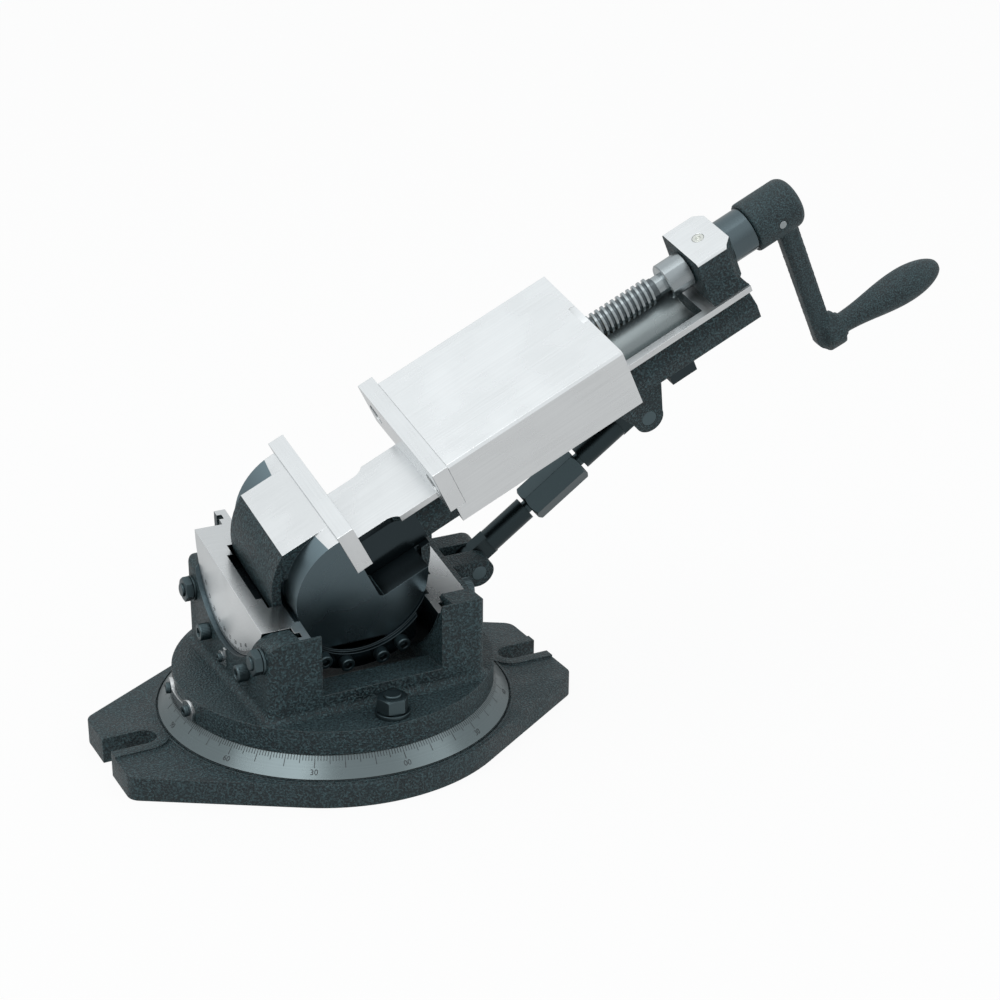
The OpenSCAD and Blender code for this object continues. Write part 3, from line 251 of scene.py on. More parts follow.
def fade(tree, value, low, high, start=0.0, end=1.0):
    """Smooth step of a value from low to high"""
    node = put(
        tree,
        "MapRange",
        {"interpolation_type": "SMOOTHSTEP"},
        Value=value,
        From_Min=low,
        From_Max=high,
        To_Min=start,
        To_Max=end,
    )
    return node.outputs[0]


def blend_colours(tree, factor, first, second, mode="MIX"):
    """Mixes two colours, given as sockets or as three numbers"""
    node = put(tree, "Mix", {"data_type": "RGBA", "blend_type": mode}, i0=factor)
    for index, value in ((6, first), (7, second)):
        if isinstance(value, bpy.types.NodeSocket):
            tree.links.new(value, node.inputs[index])
        else:
            node.inputs[index].default_value = (*value, 1)
    return node.outputs[2]


def new_group(name, inputs, outputs):
    """A shader group with named inputs (kind, default) and outputs (kind)"""
    group = bpy.data.node_groups.new(name, "ShaderNodeTree")
    for label, (kind, default) in inputs.items():
        socket = group.interface.new_socket(
            label, in_out="INPUT", socket_type="NodeSocket" + kind
        )
        if default is not None:
            socket.default_value = default
    for label, kind in outputs.items():
        group.interface.new_socket(label, in_out="OUTPUT", socket_type="NodeSocket" + kind)
    taken = group.nodes.new("NodeGroupInput")
    given = group.nodes.new("NodeGroupOutput")
    return group, taken.outputs, given.inputs


def group_once(name, make):
    return bpy.data.node_groups.get(name) or make(name)


def use(tree, group, **inputs):
    """Places a group in a material with its own values"""
    node = tree.nodes.new("ShaderNodeGroup")
    node.node_tree = group
    for key, value in inputs.items():
        socket = node.inputs[key.replace("_", " ")]
        if isinstance(value, bpy.types.NodeSocket):
            tree.links.new(value, socket)
        else:
            socket.default_value = value
    return node.outputs


def cast_skin(name):
    """Sand-cast skin: packed grains on slow waves"""
    group, taken, given = new_group(
        name,
        {"Vector": ("Vector", None), "Grain": ("Float", 1.2 * MM)},
        {"Height": "Float", "Shade": "Float", "Patch": "Float"},
    )
    per_grain = calc(group, "DIVIDE", 1.0, taken["Grain"])
    warp = noise(group, taken["Vector"], 260.0, 2.0)["Color"]
    push = Vector((1, 1, 1)) * 0.9 * MM
    pushed = vector_calc(group, "MULTIPLY_ADD", warp, push, taken["Vector"])[0]
    cells = put(
        group,
        "TexVoronoi",
        {"feature": "SMOOTH_F1"},
        Vector=pushed,
        Scale=per_grain,
        Smoothness=0.35,
    )
    fine = put(
        group,
        "TexNoise",
        Vector=taken["Vector"],
        Scale=per_grain,
        Detail=2.0,
        Roughness=0.55,
    )
    slow = noise(group, taken["Vector"], 55.0, 3.0)[0]
    domes = fade(group, cells.outputs["Distance"], 0.1, 0.7, 1.0, 0.0)
    specks = fade(group, fine.outputs[0], 0.4, 0.62)
    grains = calc(group, "MULTIPLY", calc(group, "MULTIPLY_ADD", domes, 0.5, 0.5), specks)
    height = calc(group, "MULTIPLY_ADD", slow, 0.6, grains)
    group.links.new(height, given["Height"])
    group.links.new(grains, given["Shade"])
    group.links.new(fade(group, slow, 0.38, 0.64), given["Patch"])
    return group


def edge_mask(name):
    """Rounded normal at the edges, and a mask of where they are"""
    group, taken, given = new_group(
        name,
        {"Radius": ("Float", 0.6 * MM), "Vector": ("Vector", None)},
        {"Mask": "Float", "Normal": "Vector"},
    )
    rounded = put(group, "Bevel", {"samples": 6}, Radius=taken["Radius"])
    plain = put(group, "NewGeometry")
    same = vector_calc(group, "DOT_PRODUCT", rounded.outputs[0], plain.outputs["Normal"])
    bent = calc(group, "SUBTRACT", 1.0, same["Value"])
    chips = noise(group, taken["Vector"], 420.0, 4.0)[0]
    soft = calc(group, "MULTIPLY", fade(group, bent, 0.015, 0.2), 1.15)
    # The mask is worn paint on the castings and a painted edge highlight on the bare metals
    worn = fade(group, calc(group, "SUBTRACT", soft, chips), 0.0, 0.35)
    group.links.new(worn, given["Mask"])
    group.links.new(rounded.outputs[0], given["Normal"])
    return group


def grinding_lines(name):
    """Long fine lines along X of the given vector, with a few deeper scratches"""
    group, taken, given = new_group(
        name,
        {"Vector": ("Vector", None)},
        {"Height": "Float", "Shade": "Float", "Smear": "Float"},
    )
    stretched = vector_calc(group, "MULTIPLY", taken["Vector"], (26, 2200, 2200))[0]
    lines = noise(group, stretched, 1.0, 3.0)[0]
    tilted = put(
        group,
        "Mapping",
        Vector=taken["Vector"],
        Rotation=(0, 0, 0.7),
        Scale=(12, 420, 420),
    )
    marks = noise(group, tilted.outputs[0], 1.0, 1.0)[0]
    scratch = fade(group, marks, 0.7, 0.74)
    cloud = noise(group, taken["Vector"], 34.0, 4.0)[0]
    height = calc(group, "MULTIPLY_ADD", scratch, -1.2, lines)
    group.links.new(height, given["Height"])
    group.links.new(fade(group, lines, 0.25, 0.75), given["Shade"])
    group.links.new(fade(group, cloud, 0.35, 0.68), given["Smear"])
    return group


def turning_lines(name):
    """Fine rings round X of the given vector"""
    group, taken, given = new_group(
        name,
        {"Vector": ("Vector", None), "Pitch": ("Float", 0.5 * MM)},
        {"Height": "Float", "Shade": "Float", "Smear": "Float"},
    )
    parts = put(group, "SeparateXYZ", Vector=taken["Vector"])
    square = [calc(group, "MULTIPLY", side, side) for side in parts.outputs[1:3]]
    radius = calc(group, "SQRT", calc(group, "ADD", *square))
    along = put(group, "CombineXYZ", X=parts.outputs[0], Y=radius)
    scaled = put(
        group,
        "VectorMath",
        {"operation": "SCALE"},
        Vector=along.outputs[0],
        Scale=calc(group, "DIVIDE", 1.0, taken["Pitch"]),
    )
    rings = noise(group, scaled.outputs[0], 1.0, 3.0)[0]
    cloud = noise(group, taken["Vector"], 40.0, 3.0)[0]
    group.links.new(rings, given["Height"])
    group.links.new(fade(group, rings, 0.3, 0.7), given["Shade"])
    group.links.new(fade(group, cloud, 0.35, 0.68), given["Smear"])
    return group


def across_grooves(name):
    """Direction along the surface at right angles to the lathe's or grinder's lines"""
    group, taken, given = new_group(
        name,
        {
            "Vector": ("Vector", None),
            "Centre": ("Vector", (0, 0, 0)),
            "Axis": ("Vector", (1, 0, 0)),
            "Turned": ("Float", 1.0),
        },
        {"Tangent": "Vector"},
    )
    arm = vector_calc(group, "SUBTRACT", taken["Vector"], taken["Centre"])[0]
    round_axis = vector_calc(group, "CROSS_PRODUCT", taken["Axis"], arm)[0]
    along = put(
        group,
        "Mix",
        {"data_type": "VECTOR"},
        i0=taken["Turned"],
        i4=taken["Axis"],
        i5=round_axis,
    )
    plain = put(group, "NewGeometry")
    turned = put(
        group,
        "VectorTransform",
        {"vector_type": "VECTOR", "convert_from": "OBJECT", "convert_to": "WORLD"},
        Vector=along.outputs[1],
    )
    side = vector_calc(group, "CROSS_PRODUCT", turned.outputs[0], plain.outputs["Normal"])[0]
    group.links.new(vector_calc(group, "NORMALIZE", side)[0], given["Tangent"])
    return group


def given_node(tree, kind):
    """The node of a kind that a new tree has by itself"""
    return next(n for n in tree.nodes if n.type == kind)


def new_material(name):
    material = bpy.data.materials.new(name)
    material.use_nodes = True
    tree = material.node_tree
    place = put(tree, "TexCoord")
    return material, tree, given_node(tree, "BSDF_PRINCIPLED"), place.outputs["Object"]


def in_frame(tree, coords, matrix):
    """The coordinates as the given frame has them"""
    node = put(
        tree,
        "Mapping",
        {"vector_type": "TEXTURE"},
        Vector=coords,
        Location=matrix.translation,
        Rotation=matrix.to_euler(),
    )
    return node.outputs[0]


def join(tree, surface, **inputs):
    """Links or sets the surface's inputs"""
    for key, value in inputs.items():
        socket = surface.inputs[key.replace("_", " ")]
        if isinstance(value, bpy.types.NodeSocket):
            tree.links.new(value, socket)
        elif hasattr(value, "__len__"):
            socket.default_value = (*value, 1)
        else:
            socket.default_value = value


def bumps(tree, height, distance, normal):
    node = put(tree, "Bump", Strength=1.0, Distance=distance, Height=height, Normal=normal)
    return node.outputs[0]


def cast_paint(name="sand_cast_paint", grain=1.0, relief=1.0):
    """Semi-gloss paint over a sand-cast skin, thin on the edges"""
    if name in bpy.data.materials:
        return bpy.data.materials[name]
    own = settings().casting
    material, tree, surface, coords = new_material(name)
    skin = use(
        tree,
        group_once("cast_skin", cast_skin),
        Vector=coords,
        Grain=own.grain * grain,
    )
    edge = use(tree, group_once("edge_mask", edge_mask), Radius=0.8 * MM, Vector=coords)
    tone = blend_colours(tree, skin["Shade"], own.paint, own.paint_light)
    dust = calc(tree, "MULTIPLY", skin["Patch"], 0.1)
    dusty = blend_colours(tree, dust, tone, own.paint_light)
    worn = calc(tree, "MULTIPLY", edge["Mask"], 0.4)
    colour = blend_colours(tree, worn, dusty, (0.19, 0.22, 0.23))
    bump = bumps(tree, skin["Height"], own.relief * relief, edge["Normal"])
    join(
        tree,
        surface,
        Base_Color=colour,
        Metallic=calc(tree, "MULTIPLY", worn, 0.6),
        Roughness=calc(tree, "MULTIPLY_ADD", skin["Patch"], 0.12, 0.43),
        Normal=bump,
    )
    surface.inputs["Specular IOR Level"].default_value = 0.42
    return material


def metal(name, matrix, colour, rough, lines="turned", pitch=0.5 * MM, stretch=0.5):
    """Bare or blackened metal with ground or turned lines in its own frame"""
    if name in bpy.data.materials:
        return bpy.data.materials[name]
    own = settings().steel
    material, tree, surface, coords = new_material(name)
    local = in_frame(tree, coords, matrix)
    if lines == "ground":
        marks = use(tree, group_once("grinding_lines", grinding_lines), Vector=local)
    else:
        rings = group_once("turning_lines", turning_lines)
        marks = use(tree, rings, Vector=local, Pitch=pitch)
    edge = use(tree, group_once("edge_mask", edge_mask), Radius=0.3 * MM, Vector=coords)
    darker = shaded(colour, 0.93)
    lighter = [min(1.0, 1.12 * c) for c in colour]
    tone = blend_colours(tree, marks["Shade"], darker, colour)
    smear = calc(tree, "MULTIPLY", marks["Smear"], 0.2)
    smeared = blend_colours(tree, smear, tone, lighter)
    # A lighter colour along the edges is a painted highlight
    edge_highlight = [min(1.0, 1.25 * c + 0.06) for c in colour]
    final = blend_colours(tree, calc(tree, "MULTIPLY", edge["Mask"], 0.5), smeared, edge_highlight)
    bump = bumps(tree, marks["Height"], own.scratches, edge["Normal"])
    join(
        tree,
        surface,
        Base_Color=final,
        Metallic=1.0,
        Roughness=calc(tree, "MULTIPLY_ADD", marks["Smear"], 0.04, rough),
        Anisotropic=stretch,
        Normal=bump,
    )
    tangent = use(
        tree,
        group_once("across_grooves", across_grooves),
        Vector=coords,
        Centre=matrix.translation,
        Axis=matrix.col[0].xyz,
        Turned=0.0 if lines == "ground" else 1.0,
    )
    tree.links.new(tangent["Tangent"], surface.inputs["Tangent"])
    return material


def along_y(matrix):
    """A frame whose X runs along the given frame's Y"""
    return matrix @ Matrix.Rotation(math.pi / 2, 4, "Z")


def along_z(matrix):
    """A frame whose X runs along the given frame's Z"""
    return matrix @ Matrix.Rotation(-math.pi / 2, 4, "Y")


def shaded(colour, share):
    return [share * c for c in colour]


def ground_steel(where, matrix, shade=1.0):
    colour = shaded(settings().steel.ground, shade)
    return metal("ground_steel_" + where, matrix, colour, 0.26, "ground")


def turned_steel(where, matrix, colour=None, rough=0.22):
    colour = colour or settings().steel.turned
    return metal("turned_steel_" + where, matrix, colour, rough, stretch=0.8)


def machined_iron(where, matrix, shade=1.0, rough=0.3):
    colour = shaded(settings().steel.iron, shade)
    return metal("machined_iron_" + where, matrix, colour, rough, stretch=0.35)


def black_steel(where="", matrix=base_frame, shade=1.0):
    colour = shaded(settings().steel.black, shade)
    return metal("black_oxide" + where, matrix, colour, 0.36, pitch=0.6 * MM, stretch=0.3)


def bronze():
    return metal("nut_bronze", screw_frame, (0.55, 0.36, 0.14), 0.28)


def ink():
    """Dark filling of the engraved lines, worn in patches"""
    name = "engraved_ink"
    if name in bpy.data.materials:
        return bpy.data.materials[name]
    own = settings().scale
    material, tree, surface, coords = new_material(name)
    patchy = fade(tree, noise(tree, coords, 900.0, 3.0)[0], 0.35, 0.75)
    colour = blend_colours(tree, patchy, own.ink, shaded(own.ink, 4))
    join(
        tree,
        surface,
        Base_Color=colour,
        Roughness=calc(tree, "MULTIPLY_ADD", patchy, 0.2, 0.5),
    )
    return material


# Mesh tools


def welded(node):
    """A copy of a CAD node's mesh with its loose triangles joined at their corners"""
    bm = bmesh.new()
    bm.from_mesh(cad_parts[node].data)
    bmesh.ops.remove_doubles(bm, verts=bm.verts, dist=0.002 * MM)
    return bm


def merged(node):
    """A copy of a CAD node's mesh with its triangles joined into flat faces"""
    bm = welded(node)
    bmesh.ops.dissolve_limit(
        bm,
        angle_limit=math.radians(0.6),
        use_dissolve_boundaries=False,
        verts=bm.verts,
        edges=bm.edges,
    )
    return bm


def round_edges(bm, width):
    """Bevels the edges that turn by more than 40 degrees"""
    sharp = math.radians(40)
    edges = [
        e for e in bm.edges if len(e.link_faces) == 2 and e.calc_face_angle(0) > sharp
    ]
    if edges:
        bmesh.ops.bevel(
            bm,
            geom=edges,
            offset=width,
            offset_type="OFFSET",
            segments=2,
            profile=0.5,
            affect="EDGES",
            clamp_overlap=True,
            material=-1,
        )


def finish_piece(name, bm, body, materials, matrix=None, replaces=(), angle=32):
    """Makes a mesh into a piece that rides on a body"""
    if matrix is not None:
        move(bm, matrix)
    mesh = bpy.data.meshes.new(name)
    bm.to_mesh(mesh)
    bm.free()
    if not isinstance(materials, (list, tuple)):
        materials = [materials]
    for material in materials:
        mesh.materials.append(material)
    mesh.polygons.foreach_set("use_smooth", [True] * len(mesh.polygons))
    mesh.set_sharp_from_angle(angle=math.radians(angle))
    piece = add_object(name, mesh)
    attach(piece, body)
    if replaces:
        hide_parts(*replaces)
    return piece


def dress(node, material):
    """Gives a CAD node that stays its material"""
    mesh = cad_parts[node].data
    for index in range(len(mesh.materials)):
        mesh.materials[index] = material
    if not mesh.materials:
        mesh.materials.append(material)


def lathe(bm, points):
    """Spins a profile of (radius, height) points in mm round Z, closed at both ends"""
    verts = [bm.verts.new((r * MM, 0, z * MM)) for r, z in points]
    edges = [bm.edges.new(pair) for pair in zip(verts, verts[1:])]
    bmesh.ops.spin(
        bm,
        geom=verts + edges,
        cent=(0, 0, 0),
        axis=(0, 0, 1),
        angle=TURN,
        steps=settings().facets,
        use_merge=True,
    )
    bmesh.ops.remove_doubles(bm, verts=bm.verts, dist=0.001 * MM)


def move(bm, matrix):
    bmesh.ops.transform(bm, matrix=matrix, verts=bm.verts)


def outward(bm):
    bmesh.ops.recalc_face_normals(bm, faces=bm.faces)


def add_mesh(target, source):
    """Copies one mesh into another and frees it"""
    mesh = bpy.data.meshes.new("joined")
    source.to_mesh(mesh)
    source.free()
    target.from_mesh(mesh)
    bpy.data.meshes.remove(mesh)


def solids(node):
    """The corner points of each separate solid of a CAD node"""
    bm = welded(node)
    left = set(bm.verts)
    found = []
    while left:
        stack = [left.pop()]
        group = []
        while stack:
            vert = stack.pop()
            group.append(vert.co.copy())
            for edge in vert.link_edges:
                other = edge.other_vert(vert)
                if other in left:
                    left.discard(other)
                    stack.append(other)
        found.append(group)
    bm.free()
    return found


def ends_of(points, outwards):
    """Frame at the outer end of a round solid, with Z outwards, its radius and length"""
    out = outwards.normalized()
    turn = out.to_track_quat("Z", "Y").to_matrix()
    local = [turn.inverted() @ p for p in points]
    low = Vector([min(p[k] for p in local) for k in range(3)])
    high = Vector([max(p[k] for p in local) for k in range(3)])
    tip = turn @ Vector(((low.x + high.x) / 2, (low.y + high.y) / 2, high.z))
    matrix = Matrix.Translation(tip) @ turn.to_4x4()
    return matrix, (high.x - low.x) / 2, high.z - low.z


def middle_of(points):
    return sum(points, Vector()) / len(points)


def ring(bm, radius, sides, height):
    """The points of a level circle"""
    made = bmesh.ops.create_circle(
        bm,
        cap_ends=False,
        radius=radius,
        segments=sides,
        matrix=Matrix.Translation((0, 0, height)),
    )
    return made["verts"]


def socket_head(bm, radius, height, shank, length, key):
    """Cap screw along Z with its top at zero: knurled head, hexagon socket and shank"""
    chamfer = 0.08 * radius
    sides = 72
    profile = (
        (radius, -height + chamfer),
        (radius, -2 * chamfer),
        (radius - chamfer, -0.4 * chamfer),
        (radius - 2.2 * chamfer, 0),
    )
    rims = [ring(bm, r, sides, z) for r, z in profile]
    for rim in rims[:2]:
        for vert in rim[::2]:
            vert.co.xy *= 0.965
    foot = ring(bm, radius - chamfer, sides, -height)
    corner = key / math.sqrt(3)
    depths = ((-0.02 * radius, 1.06), (-0.1 * radius, 1.0), (-0.6 * height, 1.0))
    hexes = [ring(bm, corner * share, 6, z) for z, share in depths]
    loops = [foot, *rims, *hexes]
    for first, second in zip(loops, loops[1:]):
        bridge(bm, first, second)
    bmesh.ops.contextual_create(bm, geom=hexes[-1])
    neck = ring(bm, shank, 24, -height)
    tail = ring(bm, shank, 24, -length)
    bridge(bm, foot, neck)
    bridge(bm, neck, tail)
    bmesh.ops.contextual_create(bm, geom=tail)


def bridge(bm, first, second):
    """Joins two rings of points with faces"""
    edges = []
    for points in (first, second):
        held = set(points)
        edges += [
            e
            for v in points
            for e in v.link_edges
            if e.other_vert(v) in held and len(e.link_faces) < 2
        ]
    bmesh.ops.bridge_loops(bm, edges=list(set(edges)))


def cap_screws(name, node, body, head, shank, key, outwards):
    """Replaces a node of plain cap screws by knurled ones with hexagon sockets"""
    bm = bmesh.new()
    for points in solids(node):
        matrix, radius, length = ends_of(points, outwards(middle_of(points)))
        one = bmesh.new()
        socket_head(one, radius, head * MM, shank * MM, length, key * MM)
        outward(one)
        move(one, matrix)
        add_mesh(bm, one)
    finish_piece(name, bm, body, black_steel(), replaces=[node], angle=25)


def hex_nut(bm, flats, height, bore):
    """Chamfered hexagon nut along Z from zero to its height"""
    inner = 0.485 * flats
    rings = []
    for z, kind in ((0, 0), (0, 1), (height, 1), (height, 0), (height, 2), (0, 2)):
        points = ring(bm, flats / 2, 36, z)
        for vert in points:
            angle = math.atan2(vert.co.y, vert.co.x)
            off = (angle + math.pi / 6) % (math.pi / 3) - math.pi / 6
            far = flats / 2 / math.cos(off)
            if kind == 1:
                drop = max(0, far - inner) * 0.55
                vert.co.z = drop if z == 0 else height - drop
            reach = (inner * 0.98, far, bore)[kind]
            vert.co.xy = (reach * math.cos(angle), reach * math.sin(angle))
        rings.append(points)
    for first, second in zip(rings, rings[1:]):
        bridge(bm, first, second)
    bridge(bm, rings[-1], rings[0])


def hex_nuts(name, node, outwards, flats, bore, turn):
    """Replaces a node of plain nuts by chamfered ones"""
    bm = bmesh.new()
    for points in solids(node):
        matrix, _, height = ends_of(points, outwards)
        one = bmesh.new()
        hex_nut(one, flats * MM, height, bore * MM)
        outward(one)
        place = Matrix.Translation((0, 0, -height)) @ Matrix.Rotation(turn, 4, "Z")
        move(one, matrix @ place)
        add_mesh(bm, one)
    finish_piece(name, bm, "turntable", black_steel(), replaces=[node], angle=25)


def numeral(text, height):
    """Digits as a flat mesh in the XY plane, centred, with a slight thickness"""
    curve = bpy.data.curves.new("digits", "FONT")
    curve.body = text
    curve.size = height / 0.72
    curve.align_x = "CENTER"
    curve.align_y = "CENTER"
    curve.extrude = 0.02 * MM
    curve.resolution_u = 3
    holder = add_object("digits", curve)
    graph = bpy.context.evaluated_depsgraph_get()
    mesh = bpy.data.meshes.new_from_object(holder.evaluated_get(graph))
    bm = bmesh.new()
    bm.from_mesh(mesh)
    bpy.data.objects.remove(holder)
    bpy.data.curves.remove(curve)
    bpy.data.meshes.remove(mesh)
    return bm


class ViseOperator(bpy.types.Operator):
    """Shared by the operators that build the vise"""

    bl_options = {"REGISTER", "UNDO"}

    def execute(self, context):
        self.build(context.scene.vise_settings)
        return {"FINISHED"}


class VISE_OT_base(ViseOperator):
    """Round base plate with its lugs"""

    bl_idname = "vise.base"
    bl_label = "Base casting"

    def build(self, own):
        bm = merged("base_casting")
        round_edges(bm, own.casting.edge)
        finish_piece("base", bm, "base", cast_paint(), replaces=["base_casting"])


def cut(bm, point, normal, clear):
    """Cuts a mesh along a plane, can clear what is beyond it, and gives the cut's edges"""
    made = bmesh.ops.bisect_plane(
        bm,
        geom=[*bm.verts, *bm.edges, *bm.faces],
        dist=0.001 * MM,
        plane_co=point,
        plane_no=normal,
        clear_outer=clear,
    )
    return [g for g in made["geom_cut"] if isinstance(g, bmesh.types.BMEdge)]


def shape(name, node, body, materials, width, matrix=base_frame, pick=None, split=None):
    """Softens a CAD node's edges and gives its faces their materials by place and direction.
    Its width is in mm. A split cuts the faces at that many mm along the matrix's own X."""
    bm = merged(node)
    if split:
        cut(bm, matrix @ Vector((split * MM, 0, 0)), matrix.to_3x3() @ X, False)
    inverse = matrix.inverted()
    turn = inverse.to_3x3()
    if pick:
        for face in bm.faces:
            spot = (inverse @ face.calc_center_median()) / MM
            face.material_index = pick(spot, turn @ face.normal)
    round_edges(bm, width * MM)
    piece = finish_piece(name, bm, body, materials, replaces=[node], angle=60)
    level = piece.modifiers.new("Level faces", "WEIGHTED_NORMAL")
    level.keep_sharp = True
    level.weight = 100


def scale_digits(bm, value, height, place):
    """Two digits across the lines of a scale, centred at the place's origin"""
    digits = numeral(f"{value:02d}", height)
    move(digits, place @ Matrix.Rotation(math.pi / 2, 4, "Z"))
    add_mesh(bm, digits)


def scale_line(bm, start, end, half, degrees, place):
    """One flat line from start to end along X, turned to a number of degrees"""
    made = bmesh.ops.create_grid(bm, x_segments=1, y_segments=1, size=0.5)["verts"]
    for vert in made:
        vert.co = (end if vert.co.x > 0 else start, half if vert.co.y > 0 else -half, 0)
    turn = Matrix.Rotation(math.radians(degrees), 4, "Z")
    bmesh.ops.transform(bm, matrix=turn @ place, verts=made)


class VISE_OT_swivel_scale(ViseOperator):
    """Conical scale ring with its engraved degrees"""

    bl_idname = "vise.swivel_scale"
    bl_label = "Swivel scale"

    def build(self, own):
        matrix = along_z(base_frame)
        dress("swivel_scale_ring", turned_steel("scale", matrix, (0.15, 0.185, 0.193), 0.26))
        # The marks lie just above the ring's cone, from its top edge down
        foot = Vector((102.5, 15.6)) * MM
        top = Vector((92.5, 25.7)) * MM
        slope = (foot - top).normalized()
        lift, start = 0.03 * MM, 0.15 * MM
        tilt = math.atan2(slope.y, slope.x)
        place = Matrix.Translation(
            (top.x - slope.y * lift, 0, top.y + slope.x * lift)
        ) @ Matrix.Rotation(-tilt, 4, "Y")
        lines = bmesh.new()
        scale = own.scale
        for degree in range(360):
            length = scale.five_tick if degree % 5 == 0 else scale.short_tick
            if degree % 10 == 0:
                length = scale.ten_tick
            scale_line(lines, start, length, scale.line / 2, degree, place)
        for degree in range(0, 360, 30):
            value = min(degree % 180, 180 - degree % 180)
            out = Matrix.Translation((scale.ten_tick + 0.75 * scale.numeral, 0, 0))
            turn = Matrix.Rotation(math.radians(-90 - degree), 4, "Z")
            scale_digits(lines, value, scale.numeral, turn @ place @ out)
        finish_piece("swivel_scale_marks", lines, "base", ink())


class VISE_OT_turntable(ViseOperator):
    """Cradle casting with its vernier plate, pointer and keepers"""

    bl_idname = "vise.turntable"
    bl_label = "Turntable"

    def build(self, own):
        cradle = along_z(base_frame)
        farthest, lowest = 80, 41

        def pick(spot, normal):
            """The machined trough faces the roll axis, above the cast floor"""
            inwards = Vector((0, -spot.y, roll_z / MM - spot.z))
            towards = normal.dot(inwards.normalized())
            return 1 if towards > 0.9 and inwards.length < farthest and spot.z > lowest else 0

        iron = [cast_paint(), machined_iron("trough", roll_frame, 0.6)]
        node = "turntable_cradle"
        shape("turntable", node, "turntable", iron, width=1.1, pick=pick)
        plate = ground_steel("vernier", cradle, 0.8)
        shape("vernier", "vernier_plate", "turntable", plate, width=0.35)
        for node in ("left_roll_keeper", "right_roll_keeper"):
            dress(node, machined_iron("keepers", roll_frame))
        dress("roll_pointer", ground_steel("pointer", cradle, 0.9))
        marks = bmesh.new()
        upright = Matrix.Rotation(-math.pi / 2, 4, "Y")
        plate_radius, plate_low, tick = 95.73 * MM, 27.2 * MM, 3 * MM
        foot = Matrix.Translation((plate_radius, 0, plate_low)) @ upright
        for degree in range(172, 186):
            scale_line(marks, 0, tick, own.scale.line / 2, degree, foot)
        finish_piece("vernier_marks", marks, "turntable", ink())


class VISE_OT_fasteners(ViseOperator):
    """Cap screws, clamping nuts, studs and washers"""

    bl_idname = "vise.fasteners"
    bl_label = "Fasteners"

    def build(self, own):
        def along(vector):
            return lambda spot: vector

        def away_x(spot):
            return X if spot.x > 0 else -X

        roll = roll_frame.to_3x3()
        vise = vise_frame.to_3x3()

        def away_y(spot):
            return roll @ (Y if (roll_frame.inverted() @ spot).y > 0 else -Y)

        def radial(spot):
            return Vector((spot.x, spot.y, 0))

        for name, node, body, head, shank, key, way in (
            ("keeper_screws", "roll_keeper_screws", "turntable", 6.5, 3, 5, away_x),
            ("vernier_fixings", "vernier_screws", "turntable", 2.5, 1.75, 2.5, radial),
            ("pointer_fixing", "roll_pointer_screw", "turntable", 2, 1.5, 2, along(-X)),
            ("shoe_screws", "disc_shoe_screws", "saddle", 5.5, 2.5, 4, away_y),
            ("bracket_screws", "brace_bracket_screws", "saddle", 8, 4, 6, along(roll @ X)),
            ("fixed_plate_screws", "fixed_jaw_screws", "vise", 7, 4, 6, along(vise @ X)),
            ("block_screws", "screw_block_bolts", "vise", 8, 4, 6, along(vise @ -Z)),
            ("movable_plate_screws", "movable_jaw_screws", "jaw", 7, 4, 6, along(vise @ -X)),
            ("strip_screws", "hold_down_screws", "jaw", 2.4, 2.5, 3, along(vise @ -Z)),
        ):
            cap_screws(name, node, body, head, shank, key, way)

        hex_nuts("clamp_nuts", "swivel_clamp_nuts", Z, 16, 5.05, 0.4)
        hex_nuts("lock_nuts", "roll_lock_nuts", -X, 13, 4.05, 0.2)
        black = black_steel()
        for name, node, width in (
            ("clamp_bolts", "swivel_clamp_bolts", 0.9),
            ("clamp_washers", "swivel_clamp_washers", 0.3),
            ("lock_studs", "roll_lock_studs", 0.7),
            ("lock_washers", "roll_lock_washers", 0.2),
        ):
            shape(name, node, "turntable", black, width=width)
        dress("collar_set_screw", black)


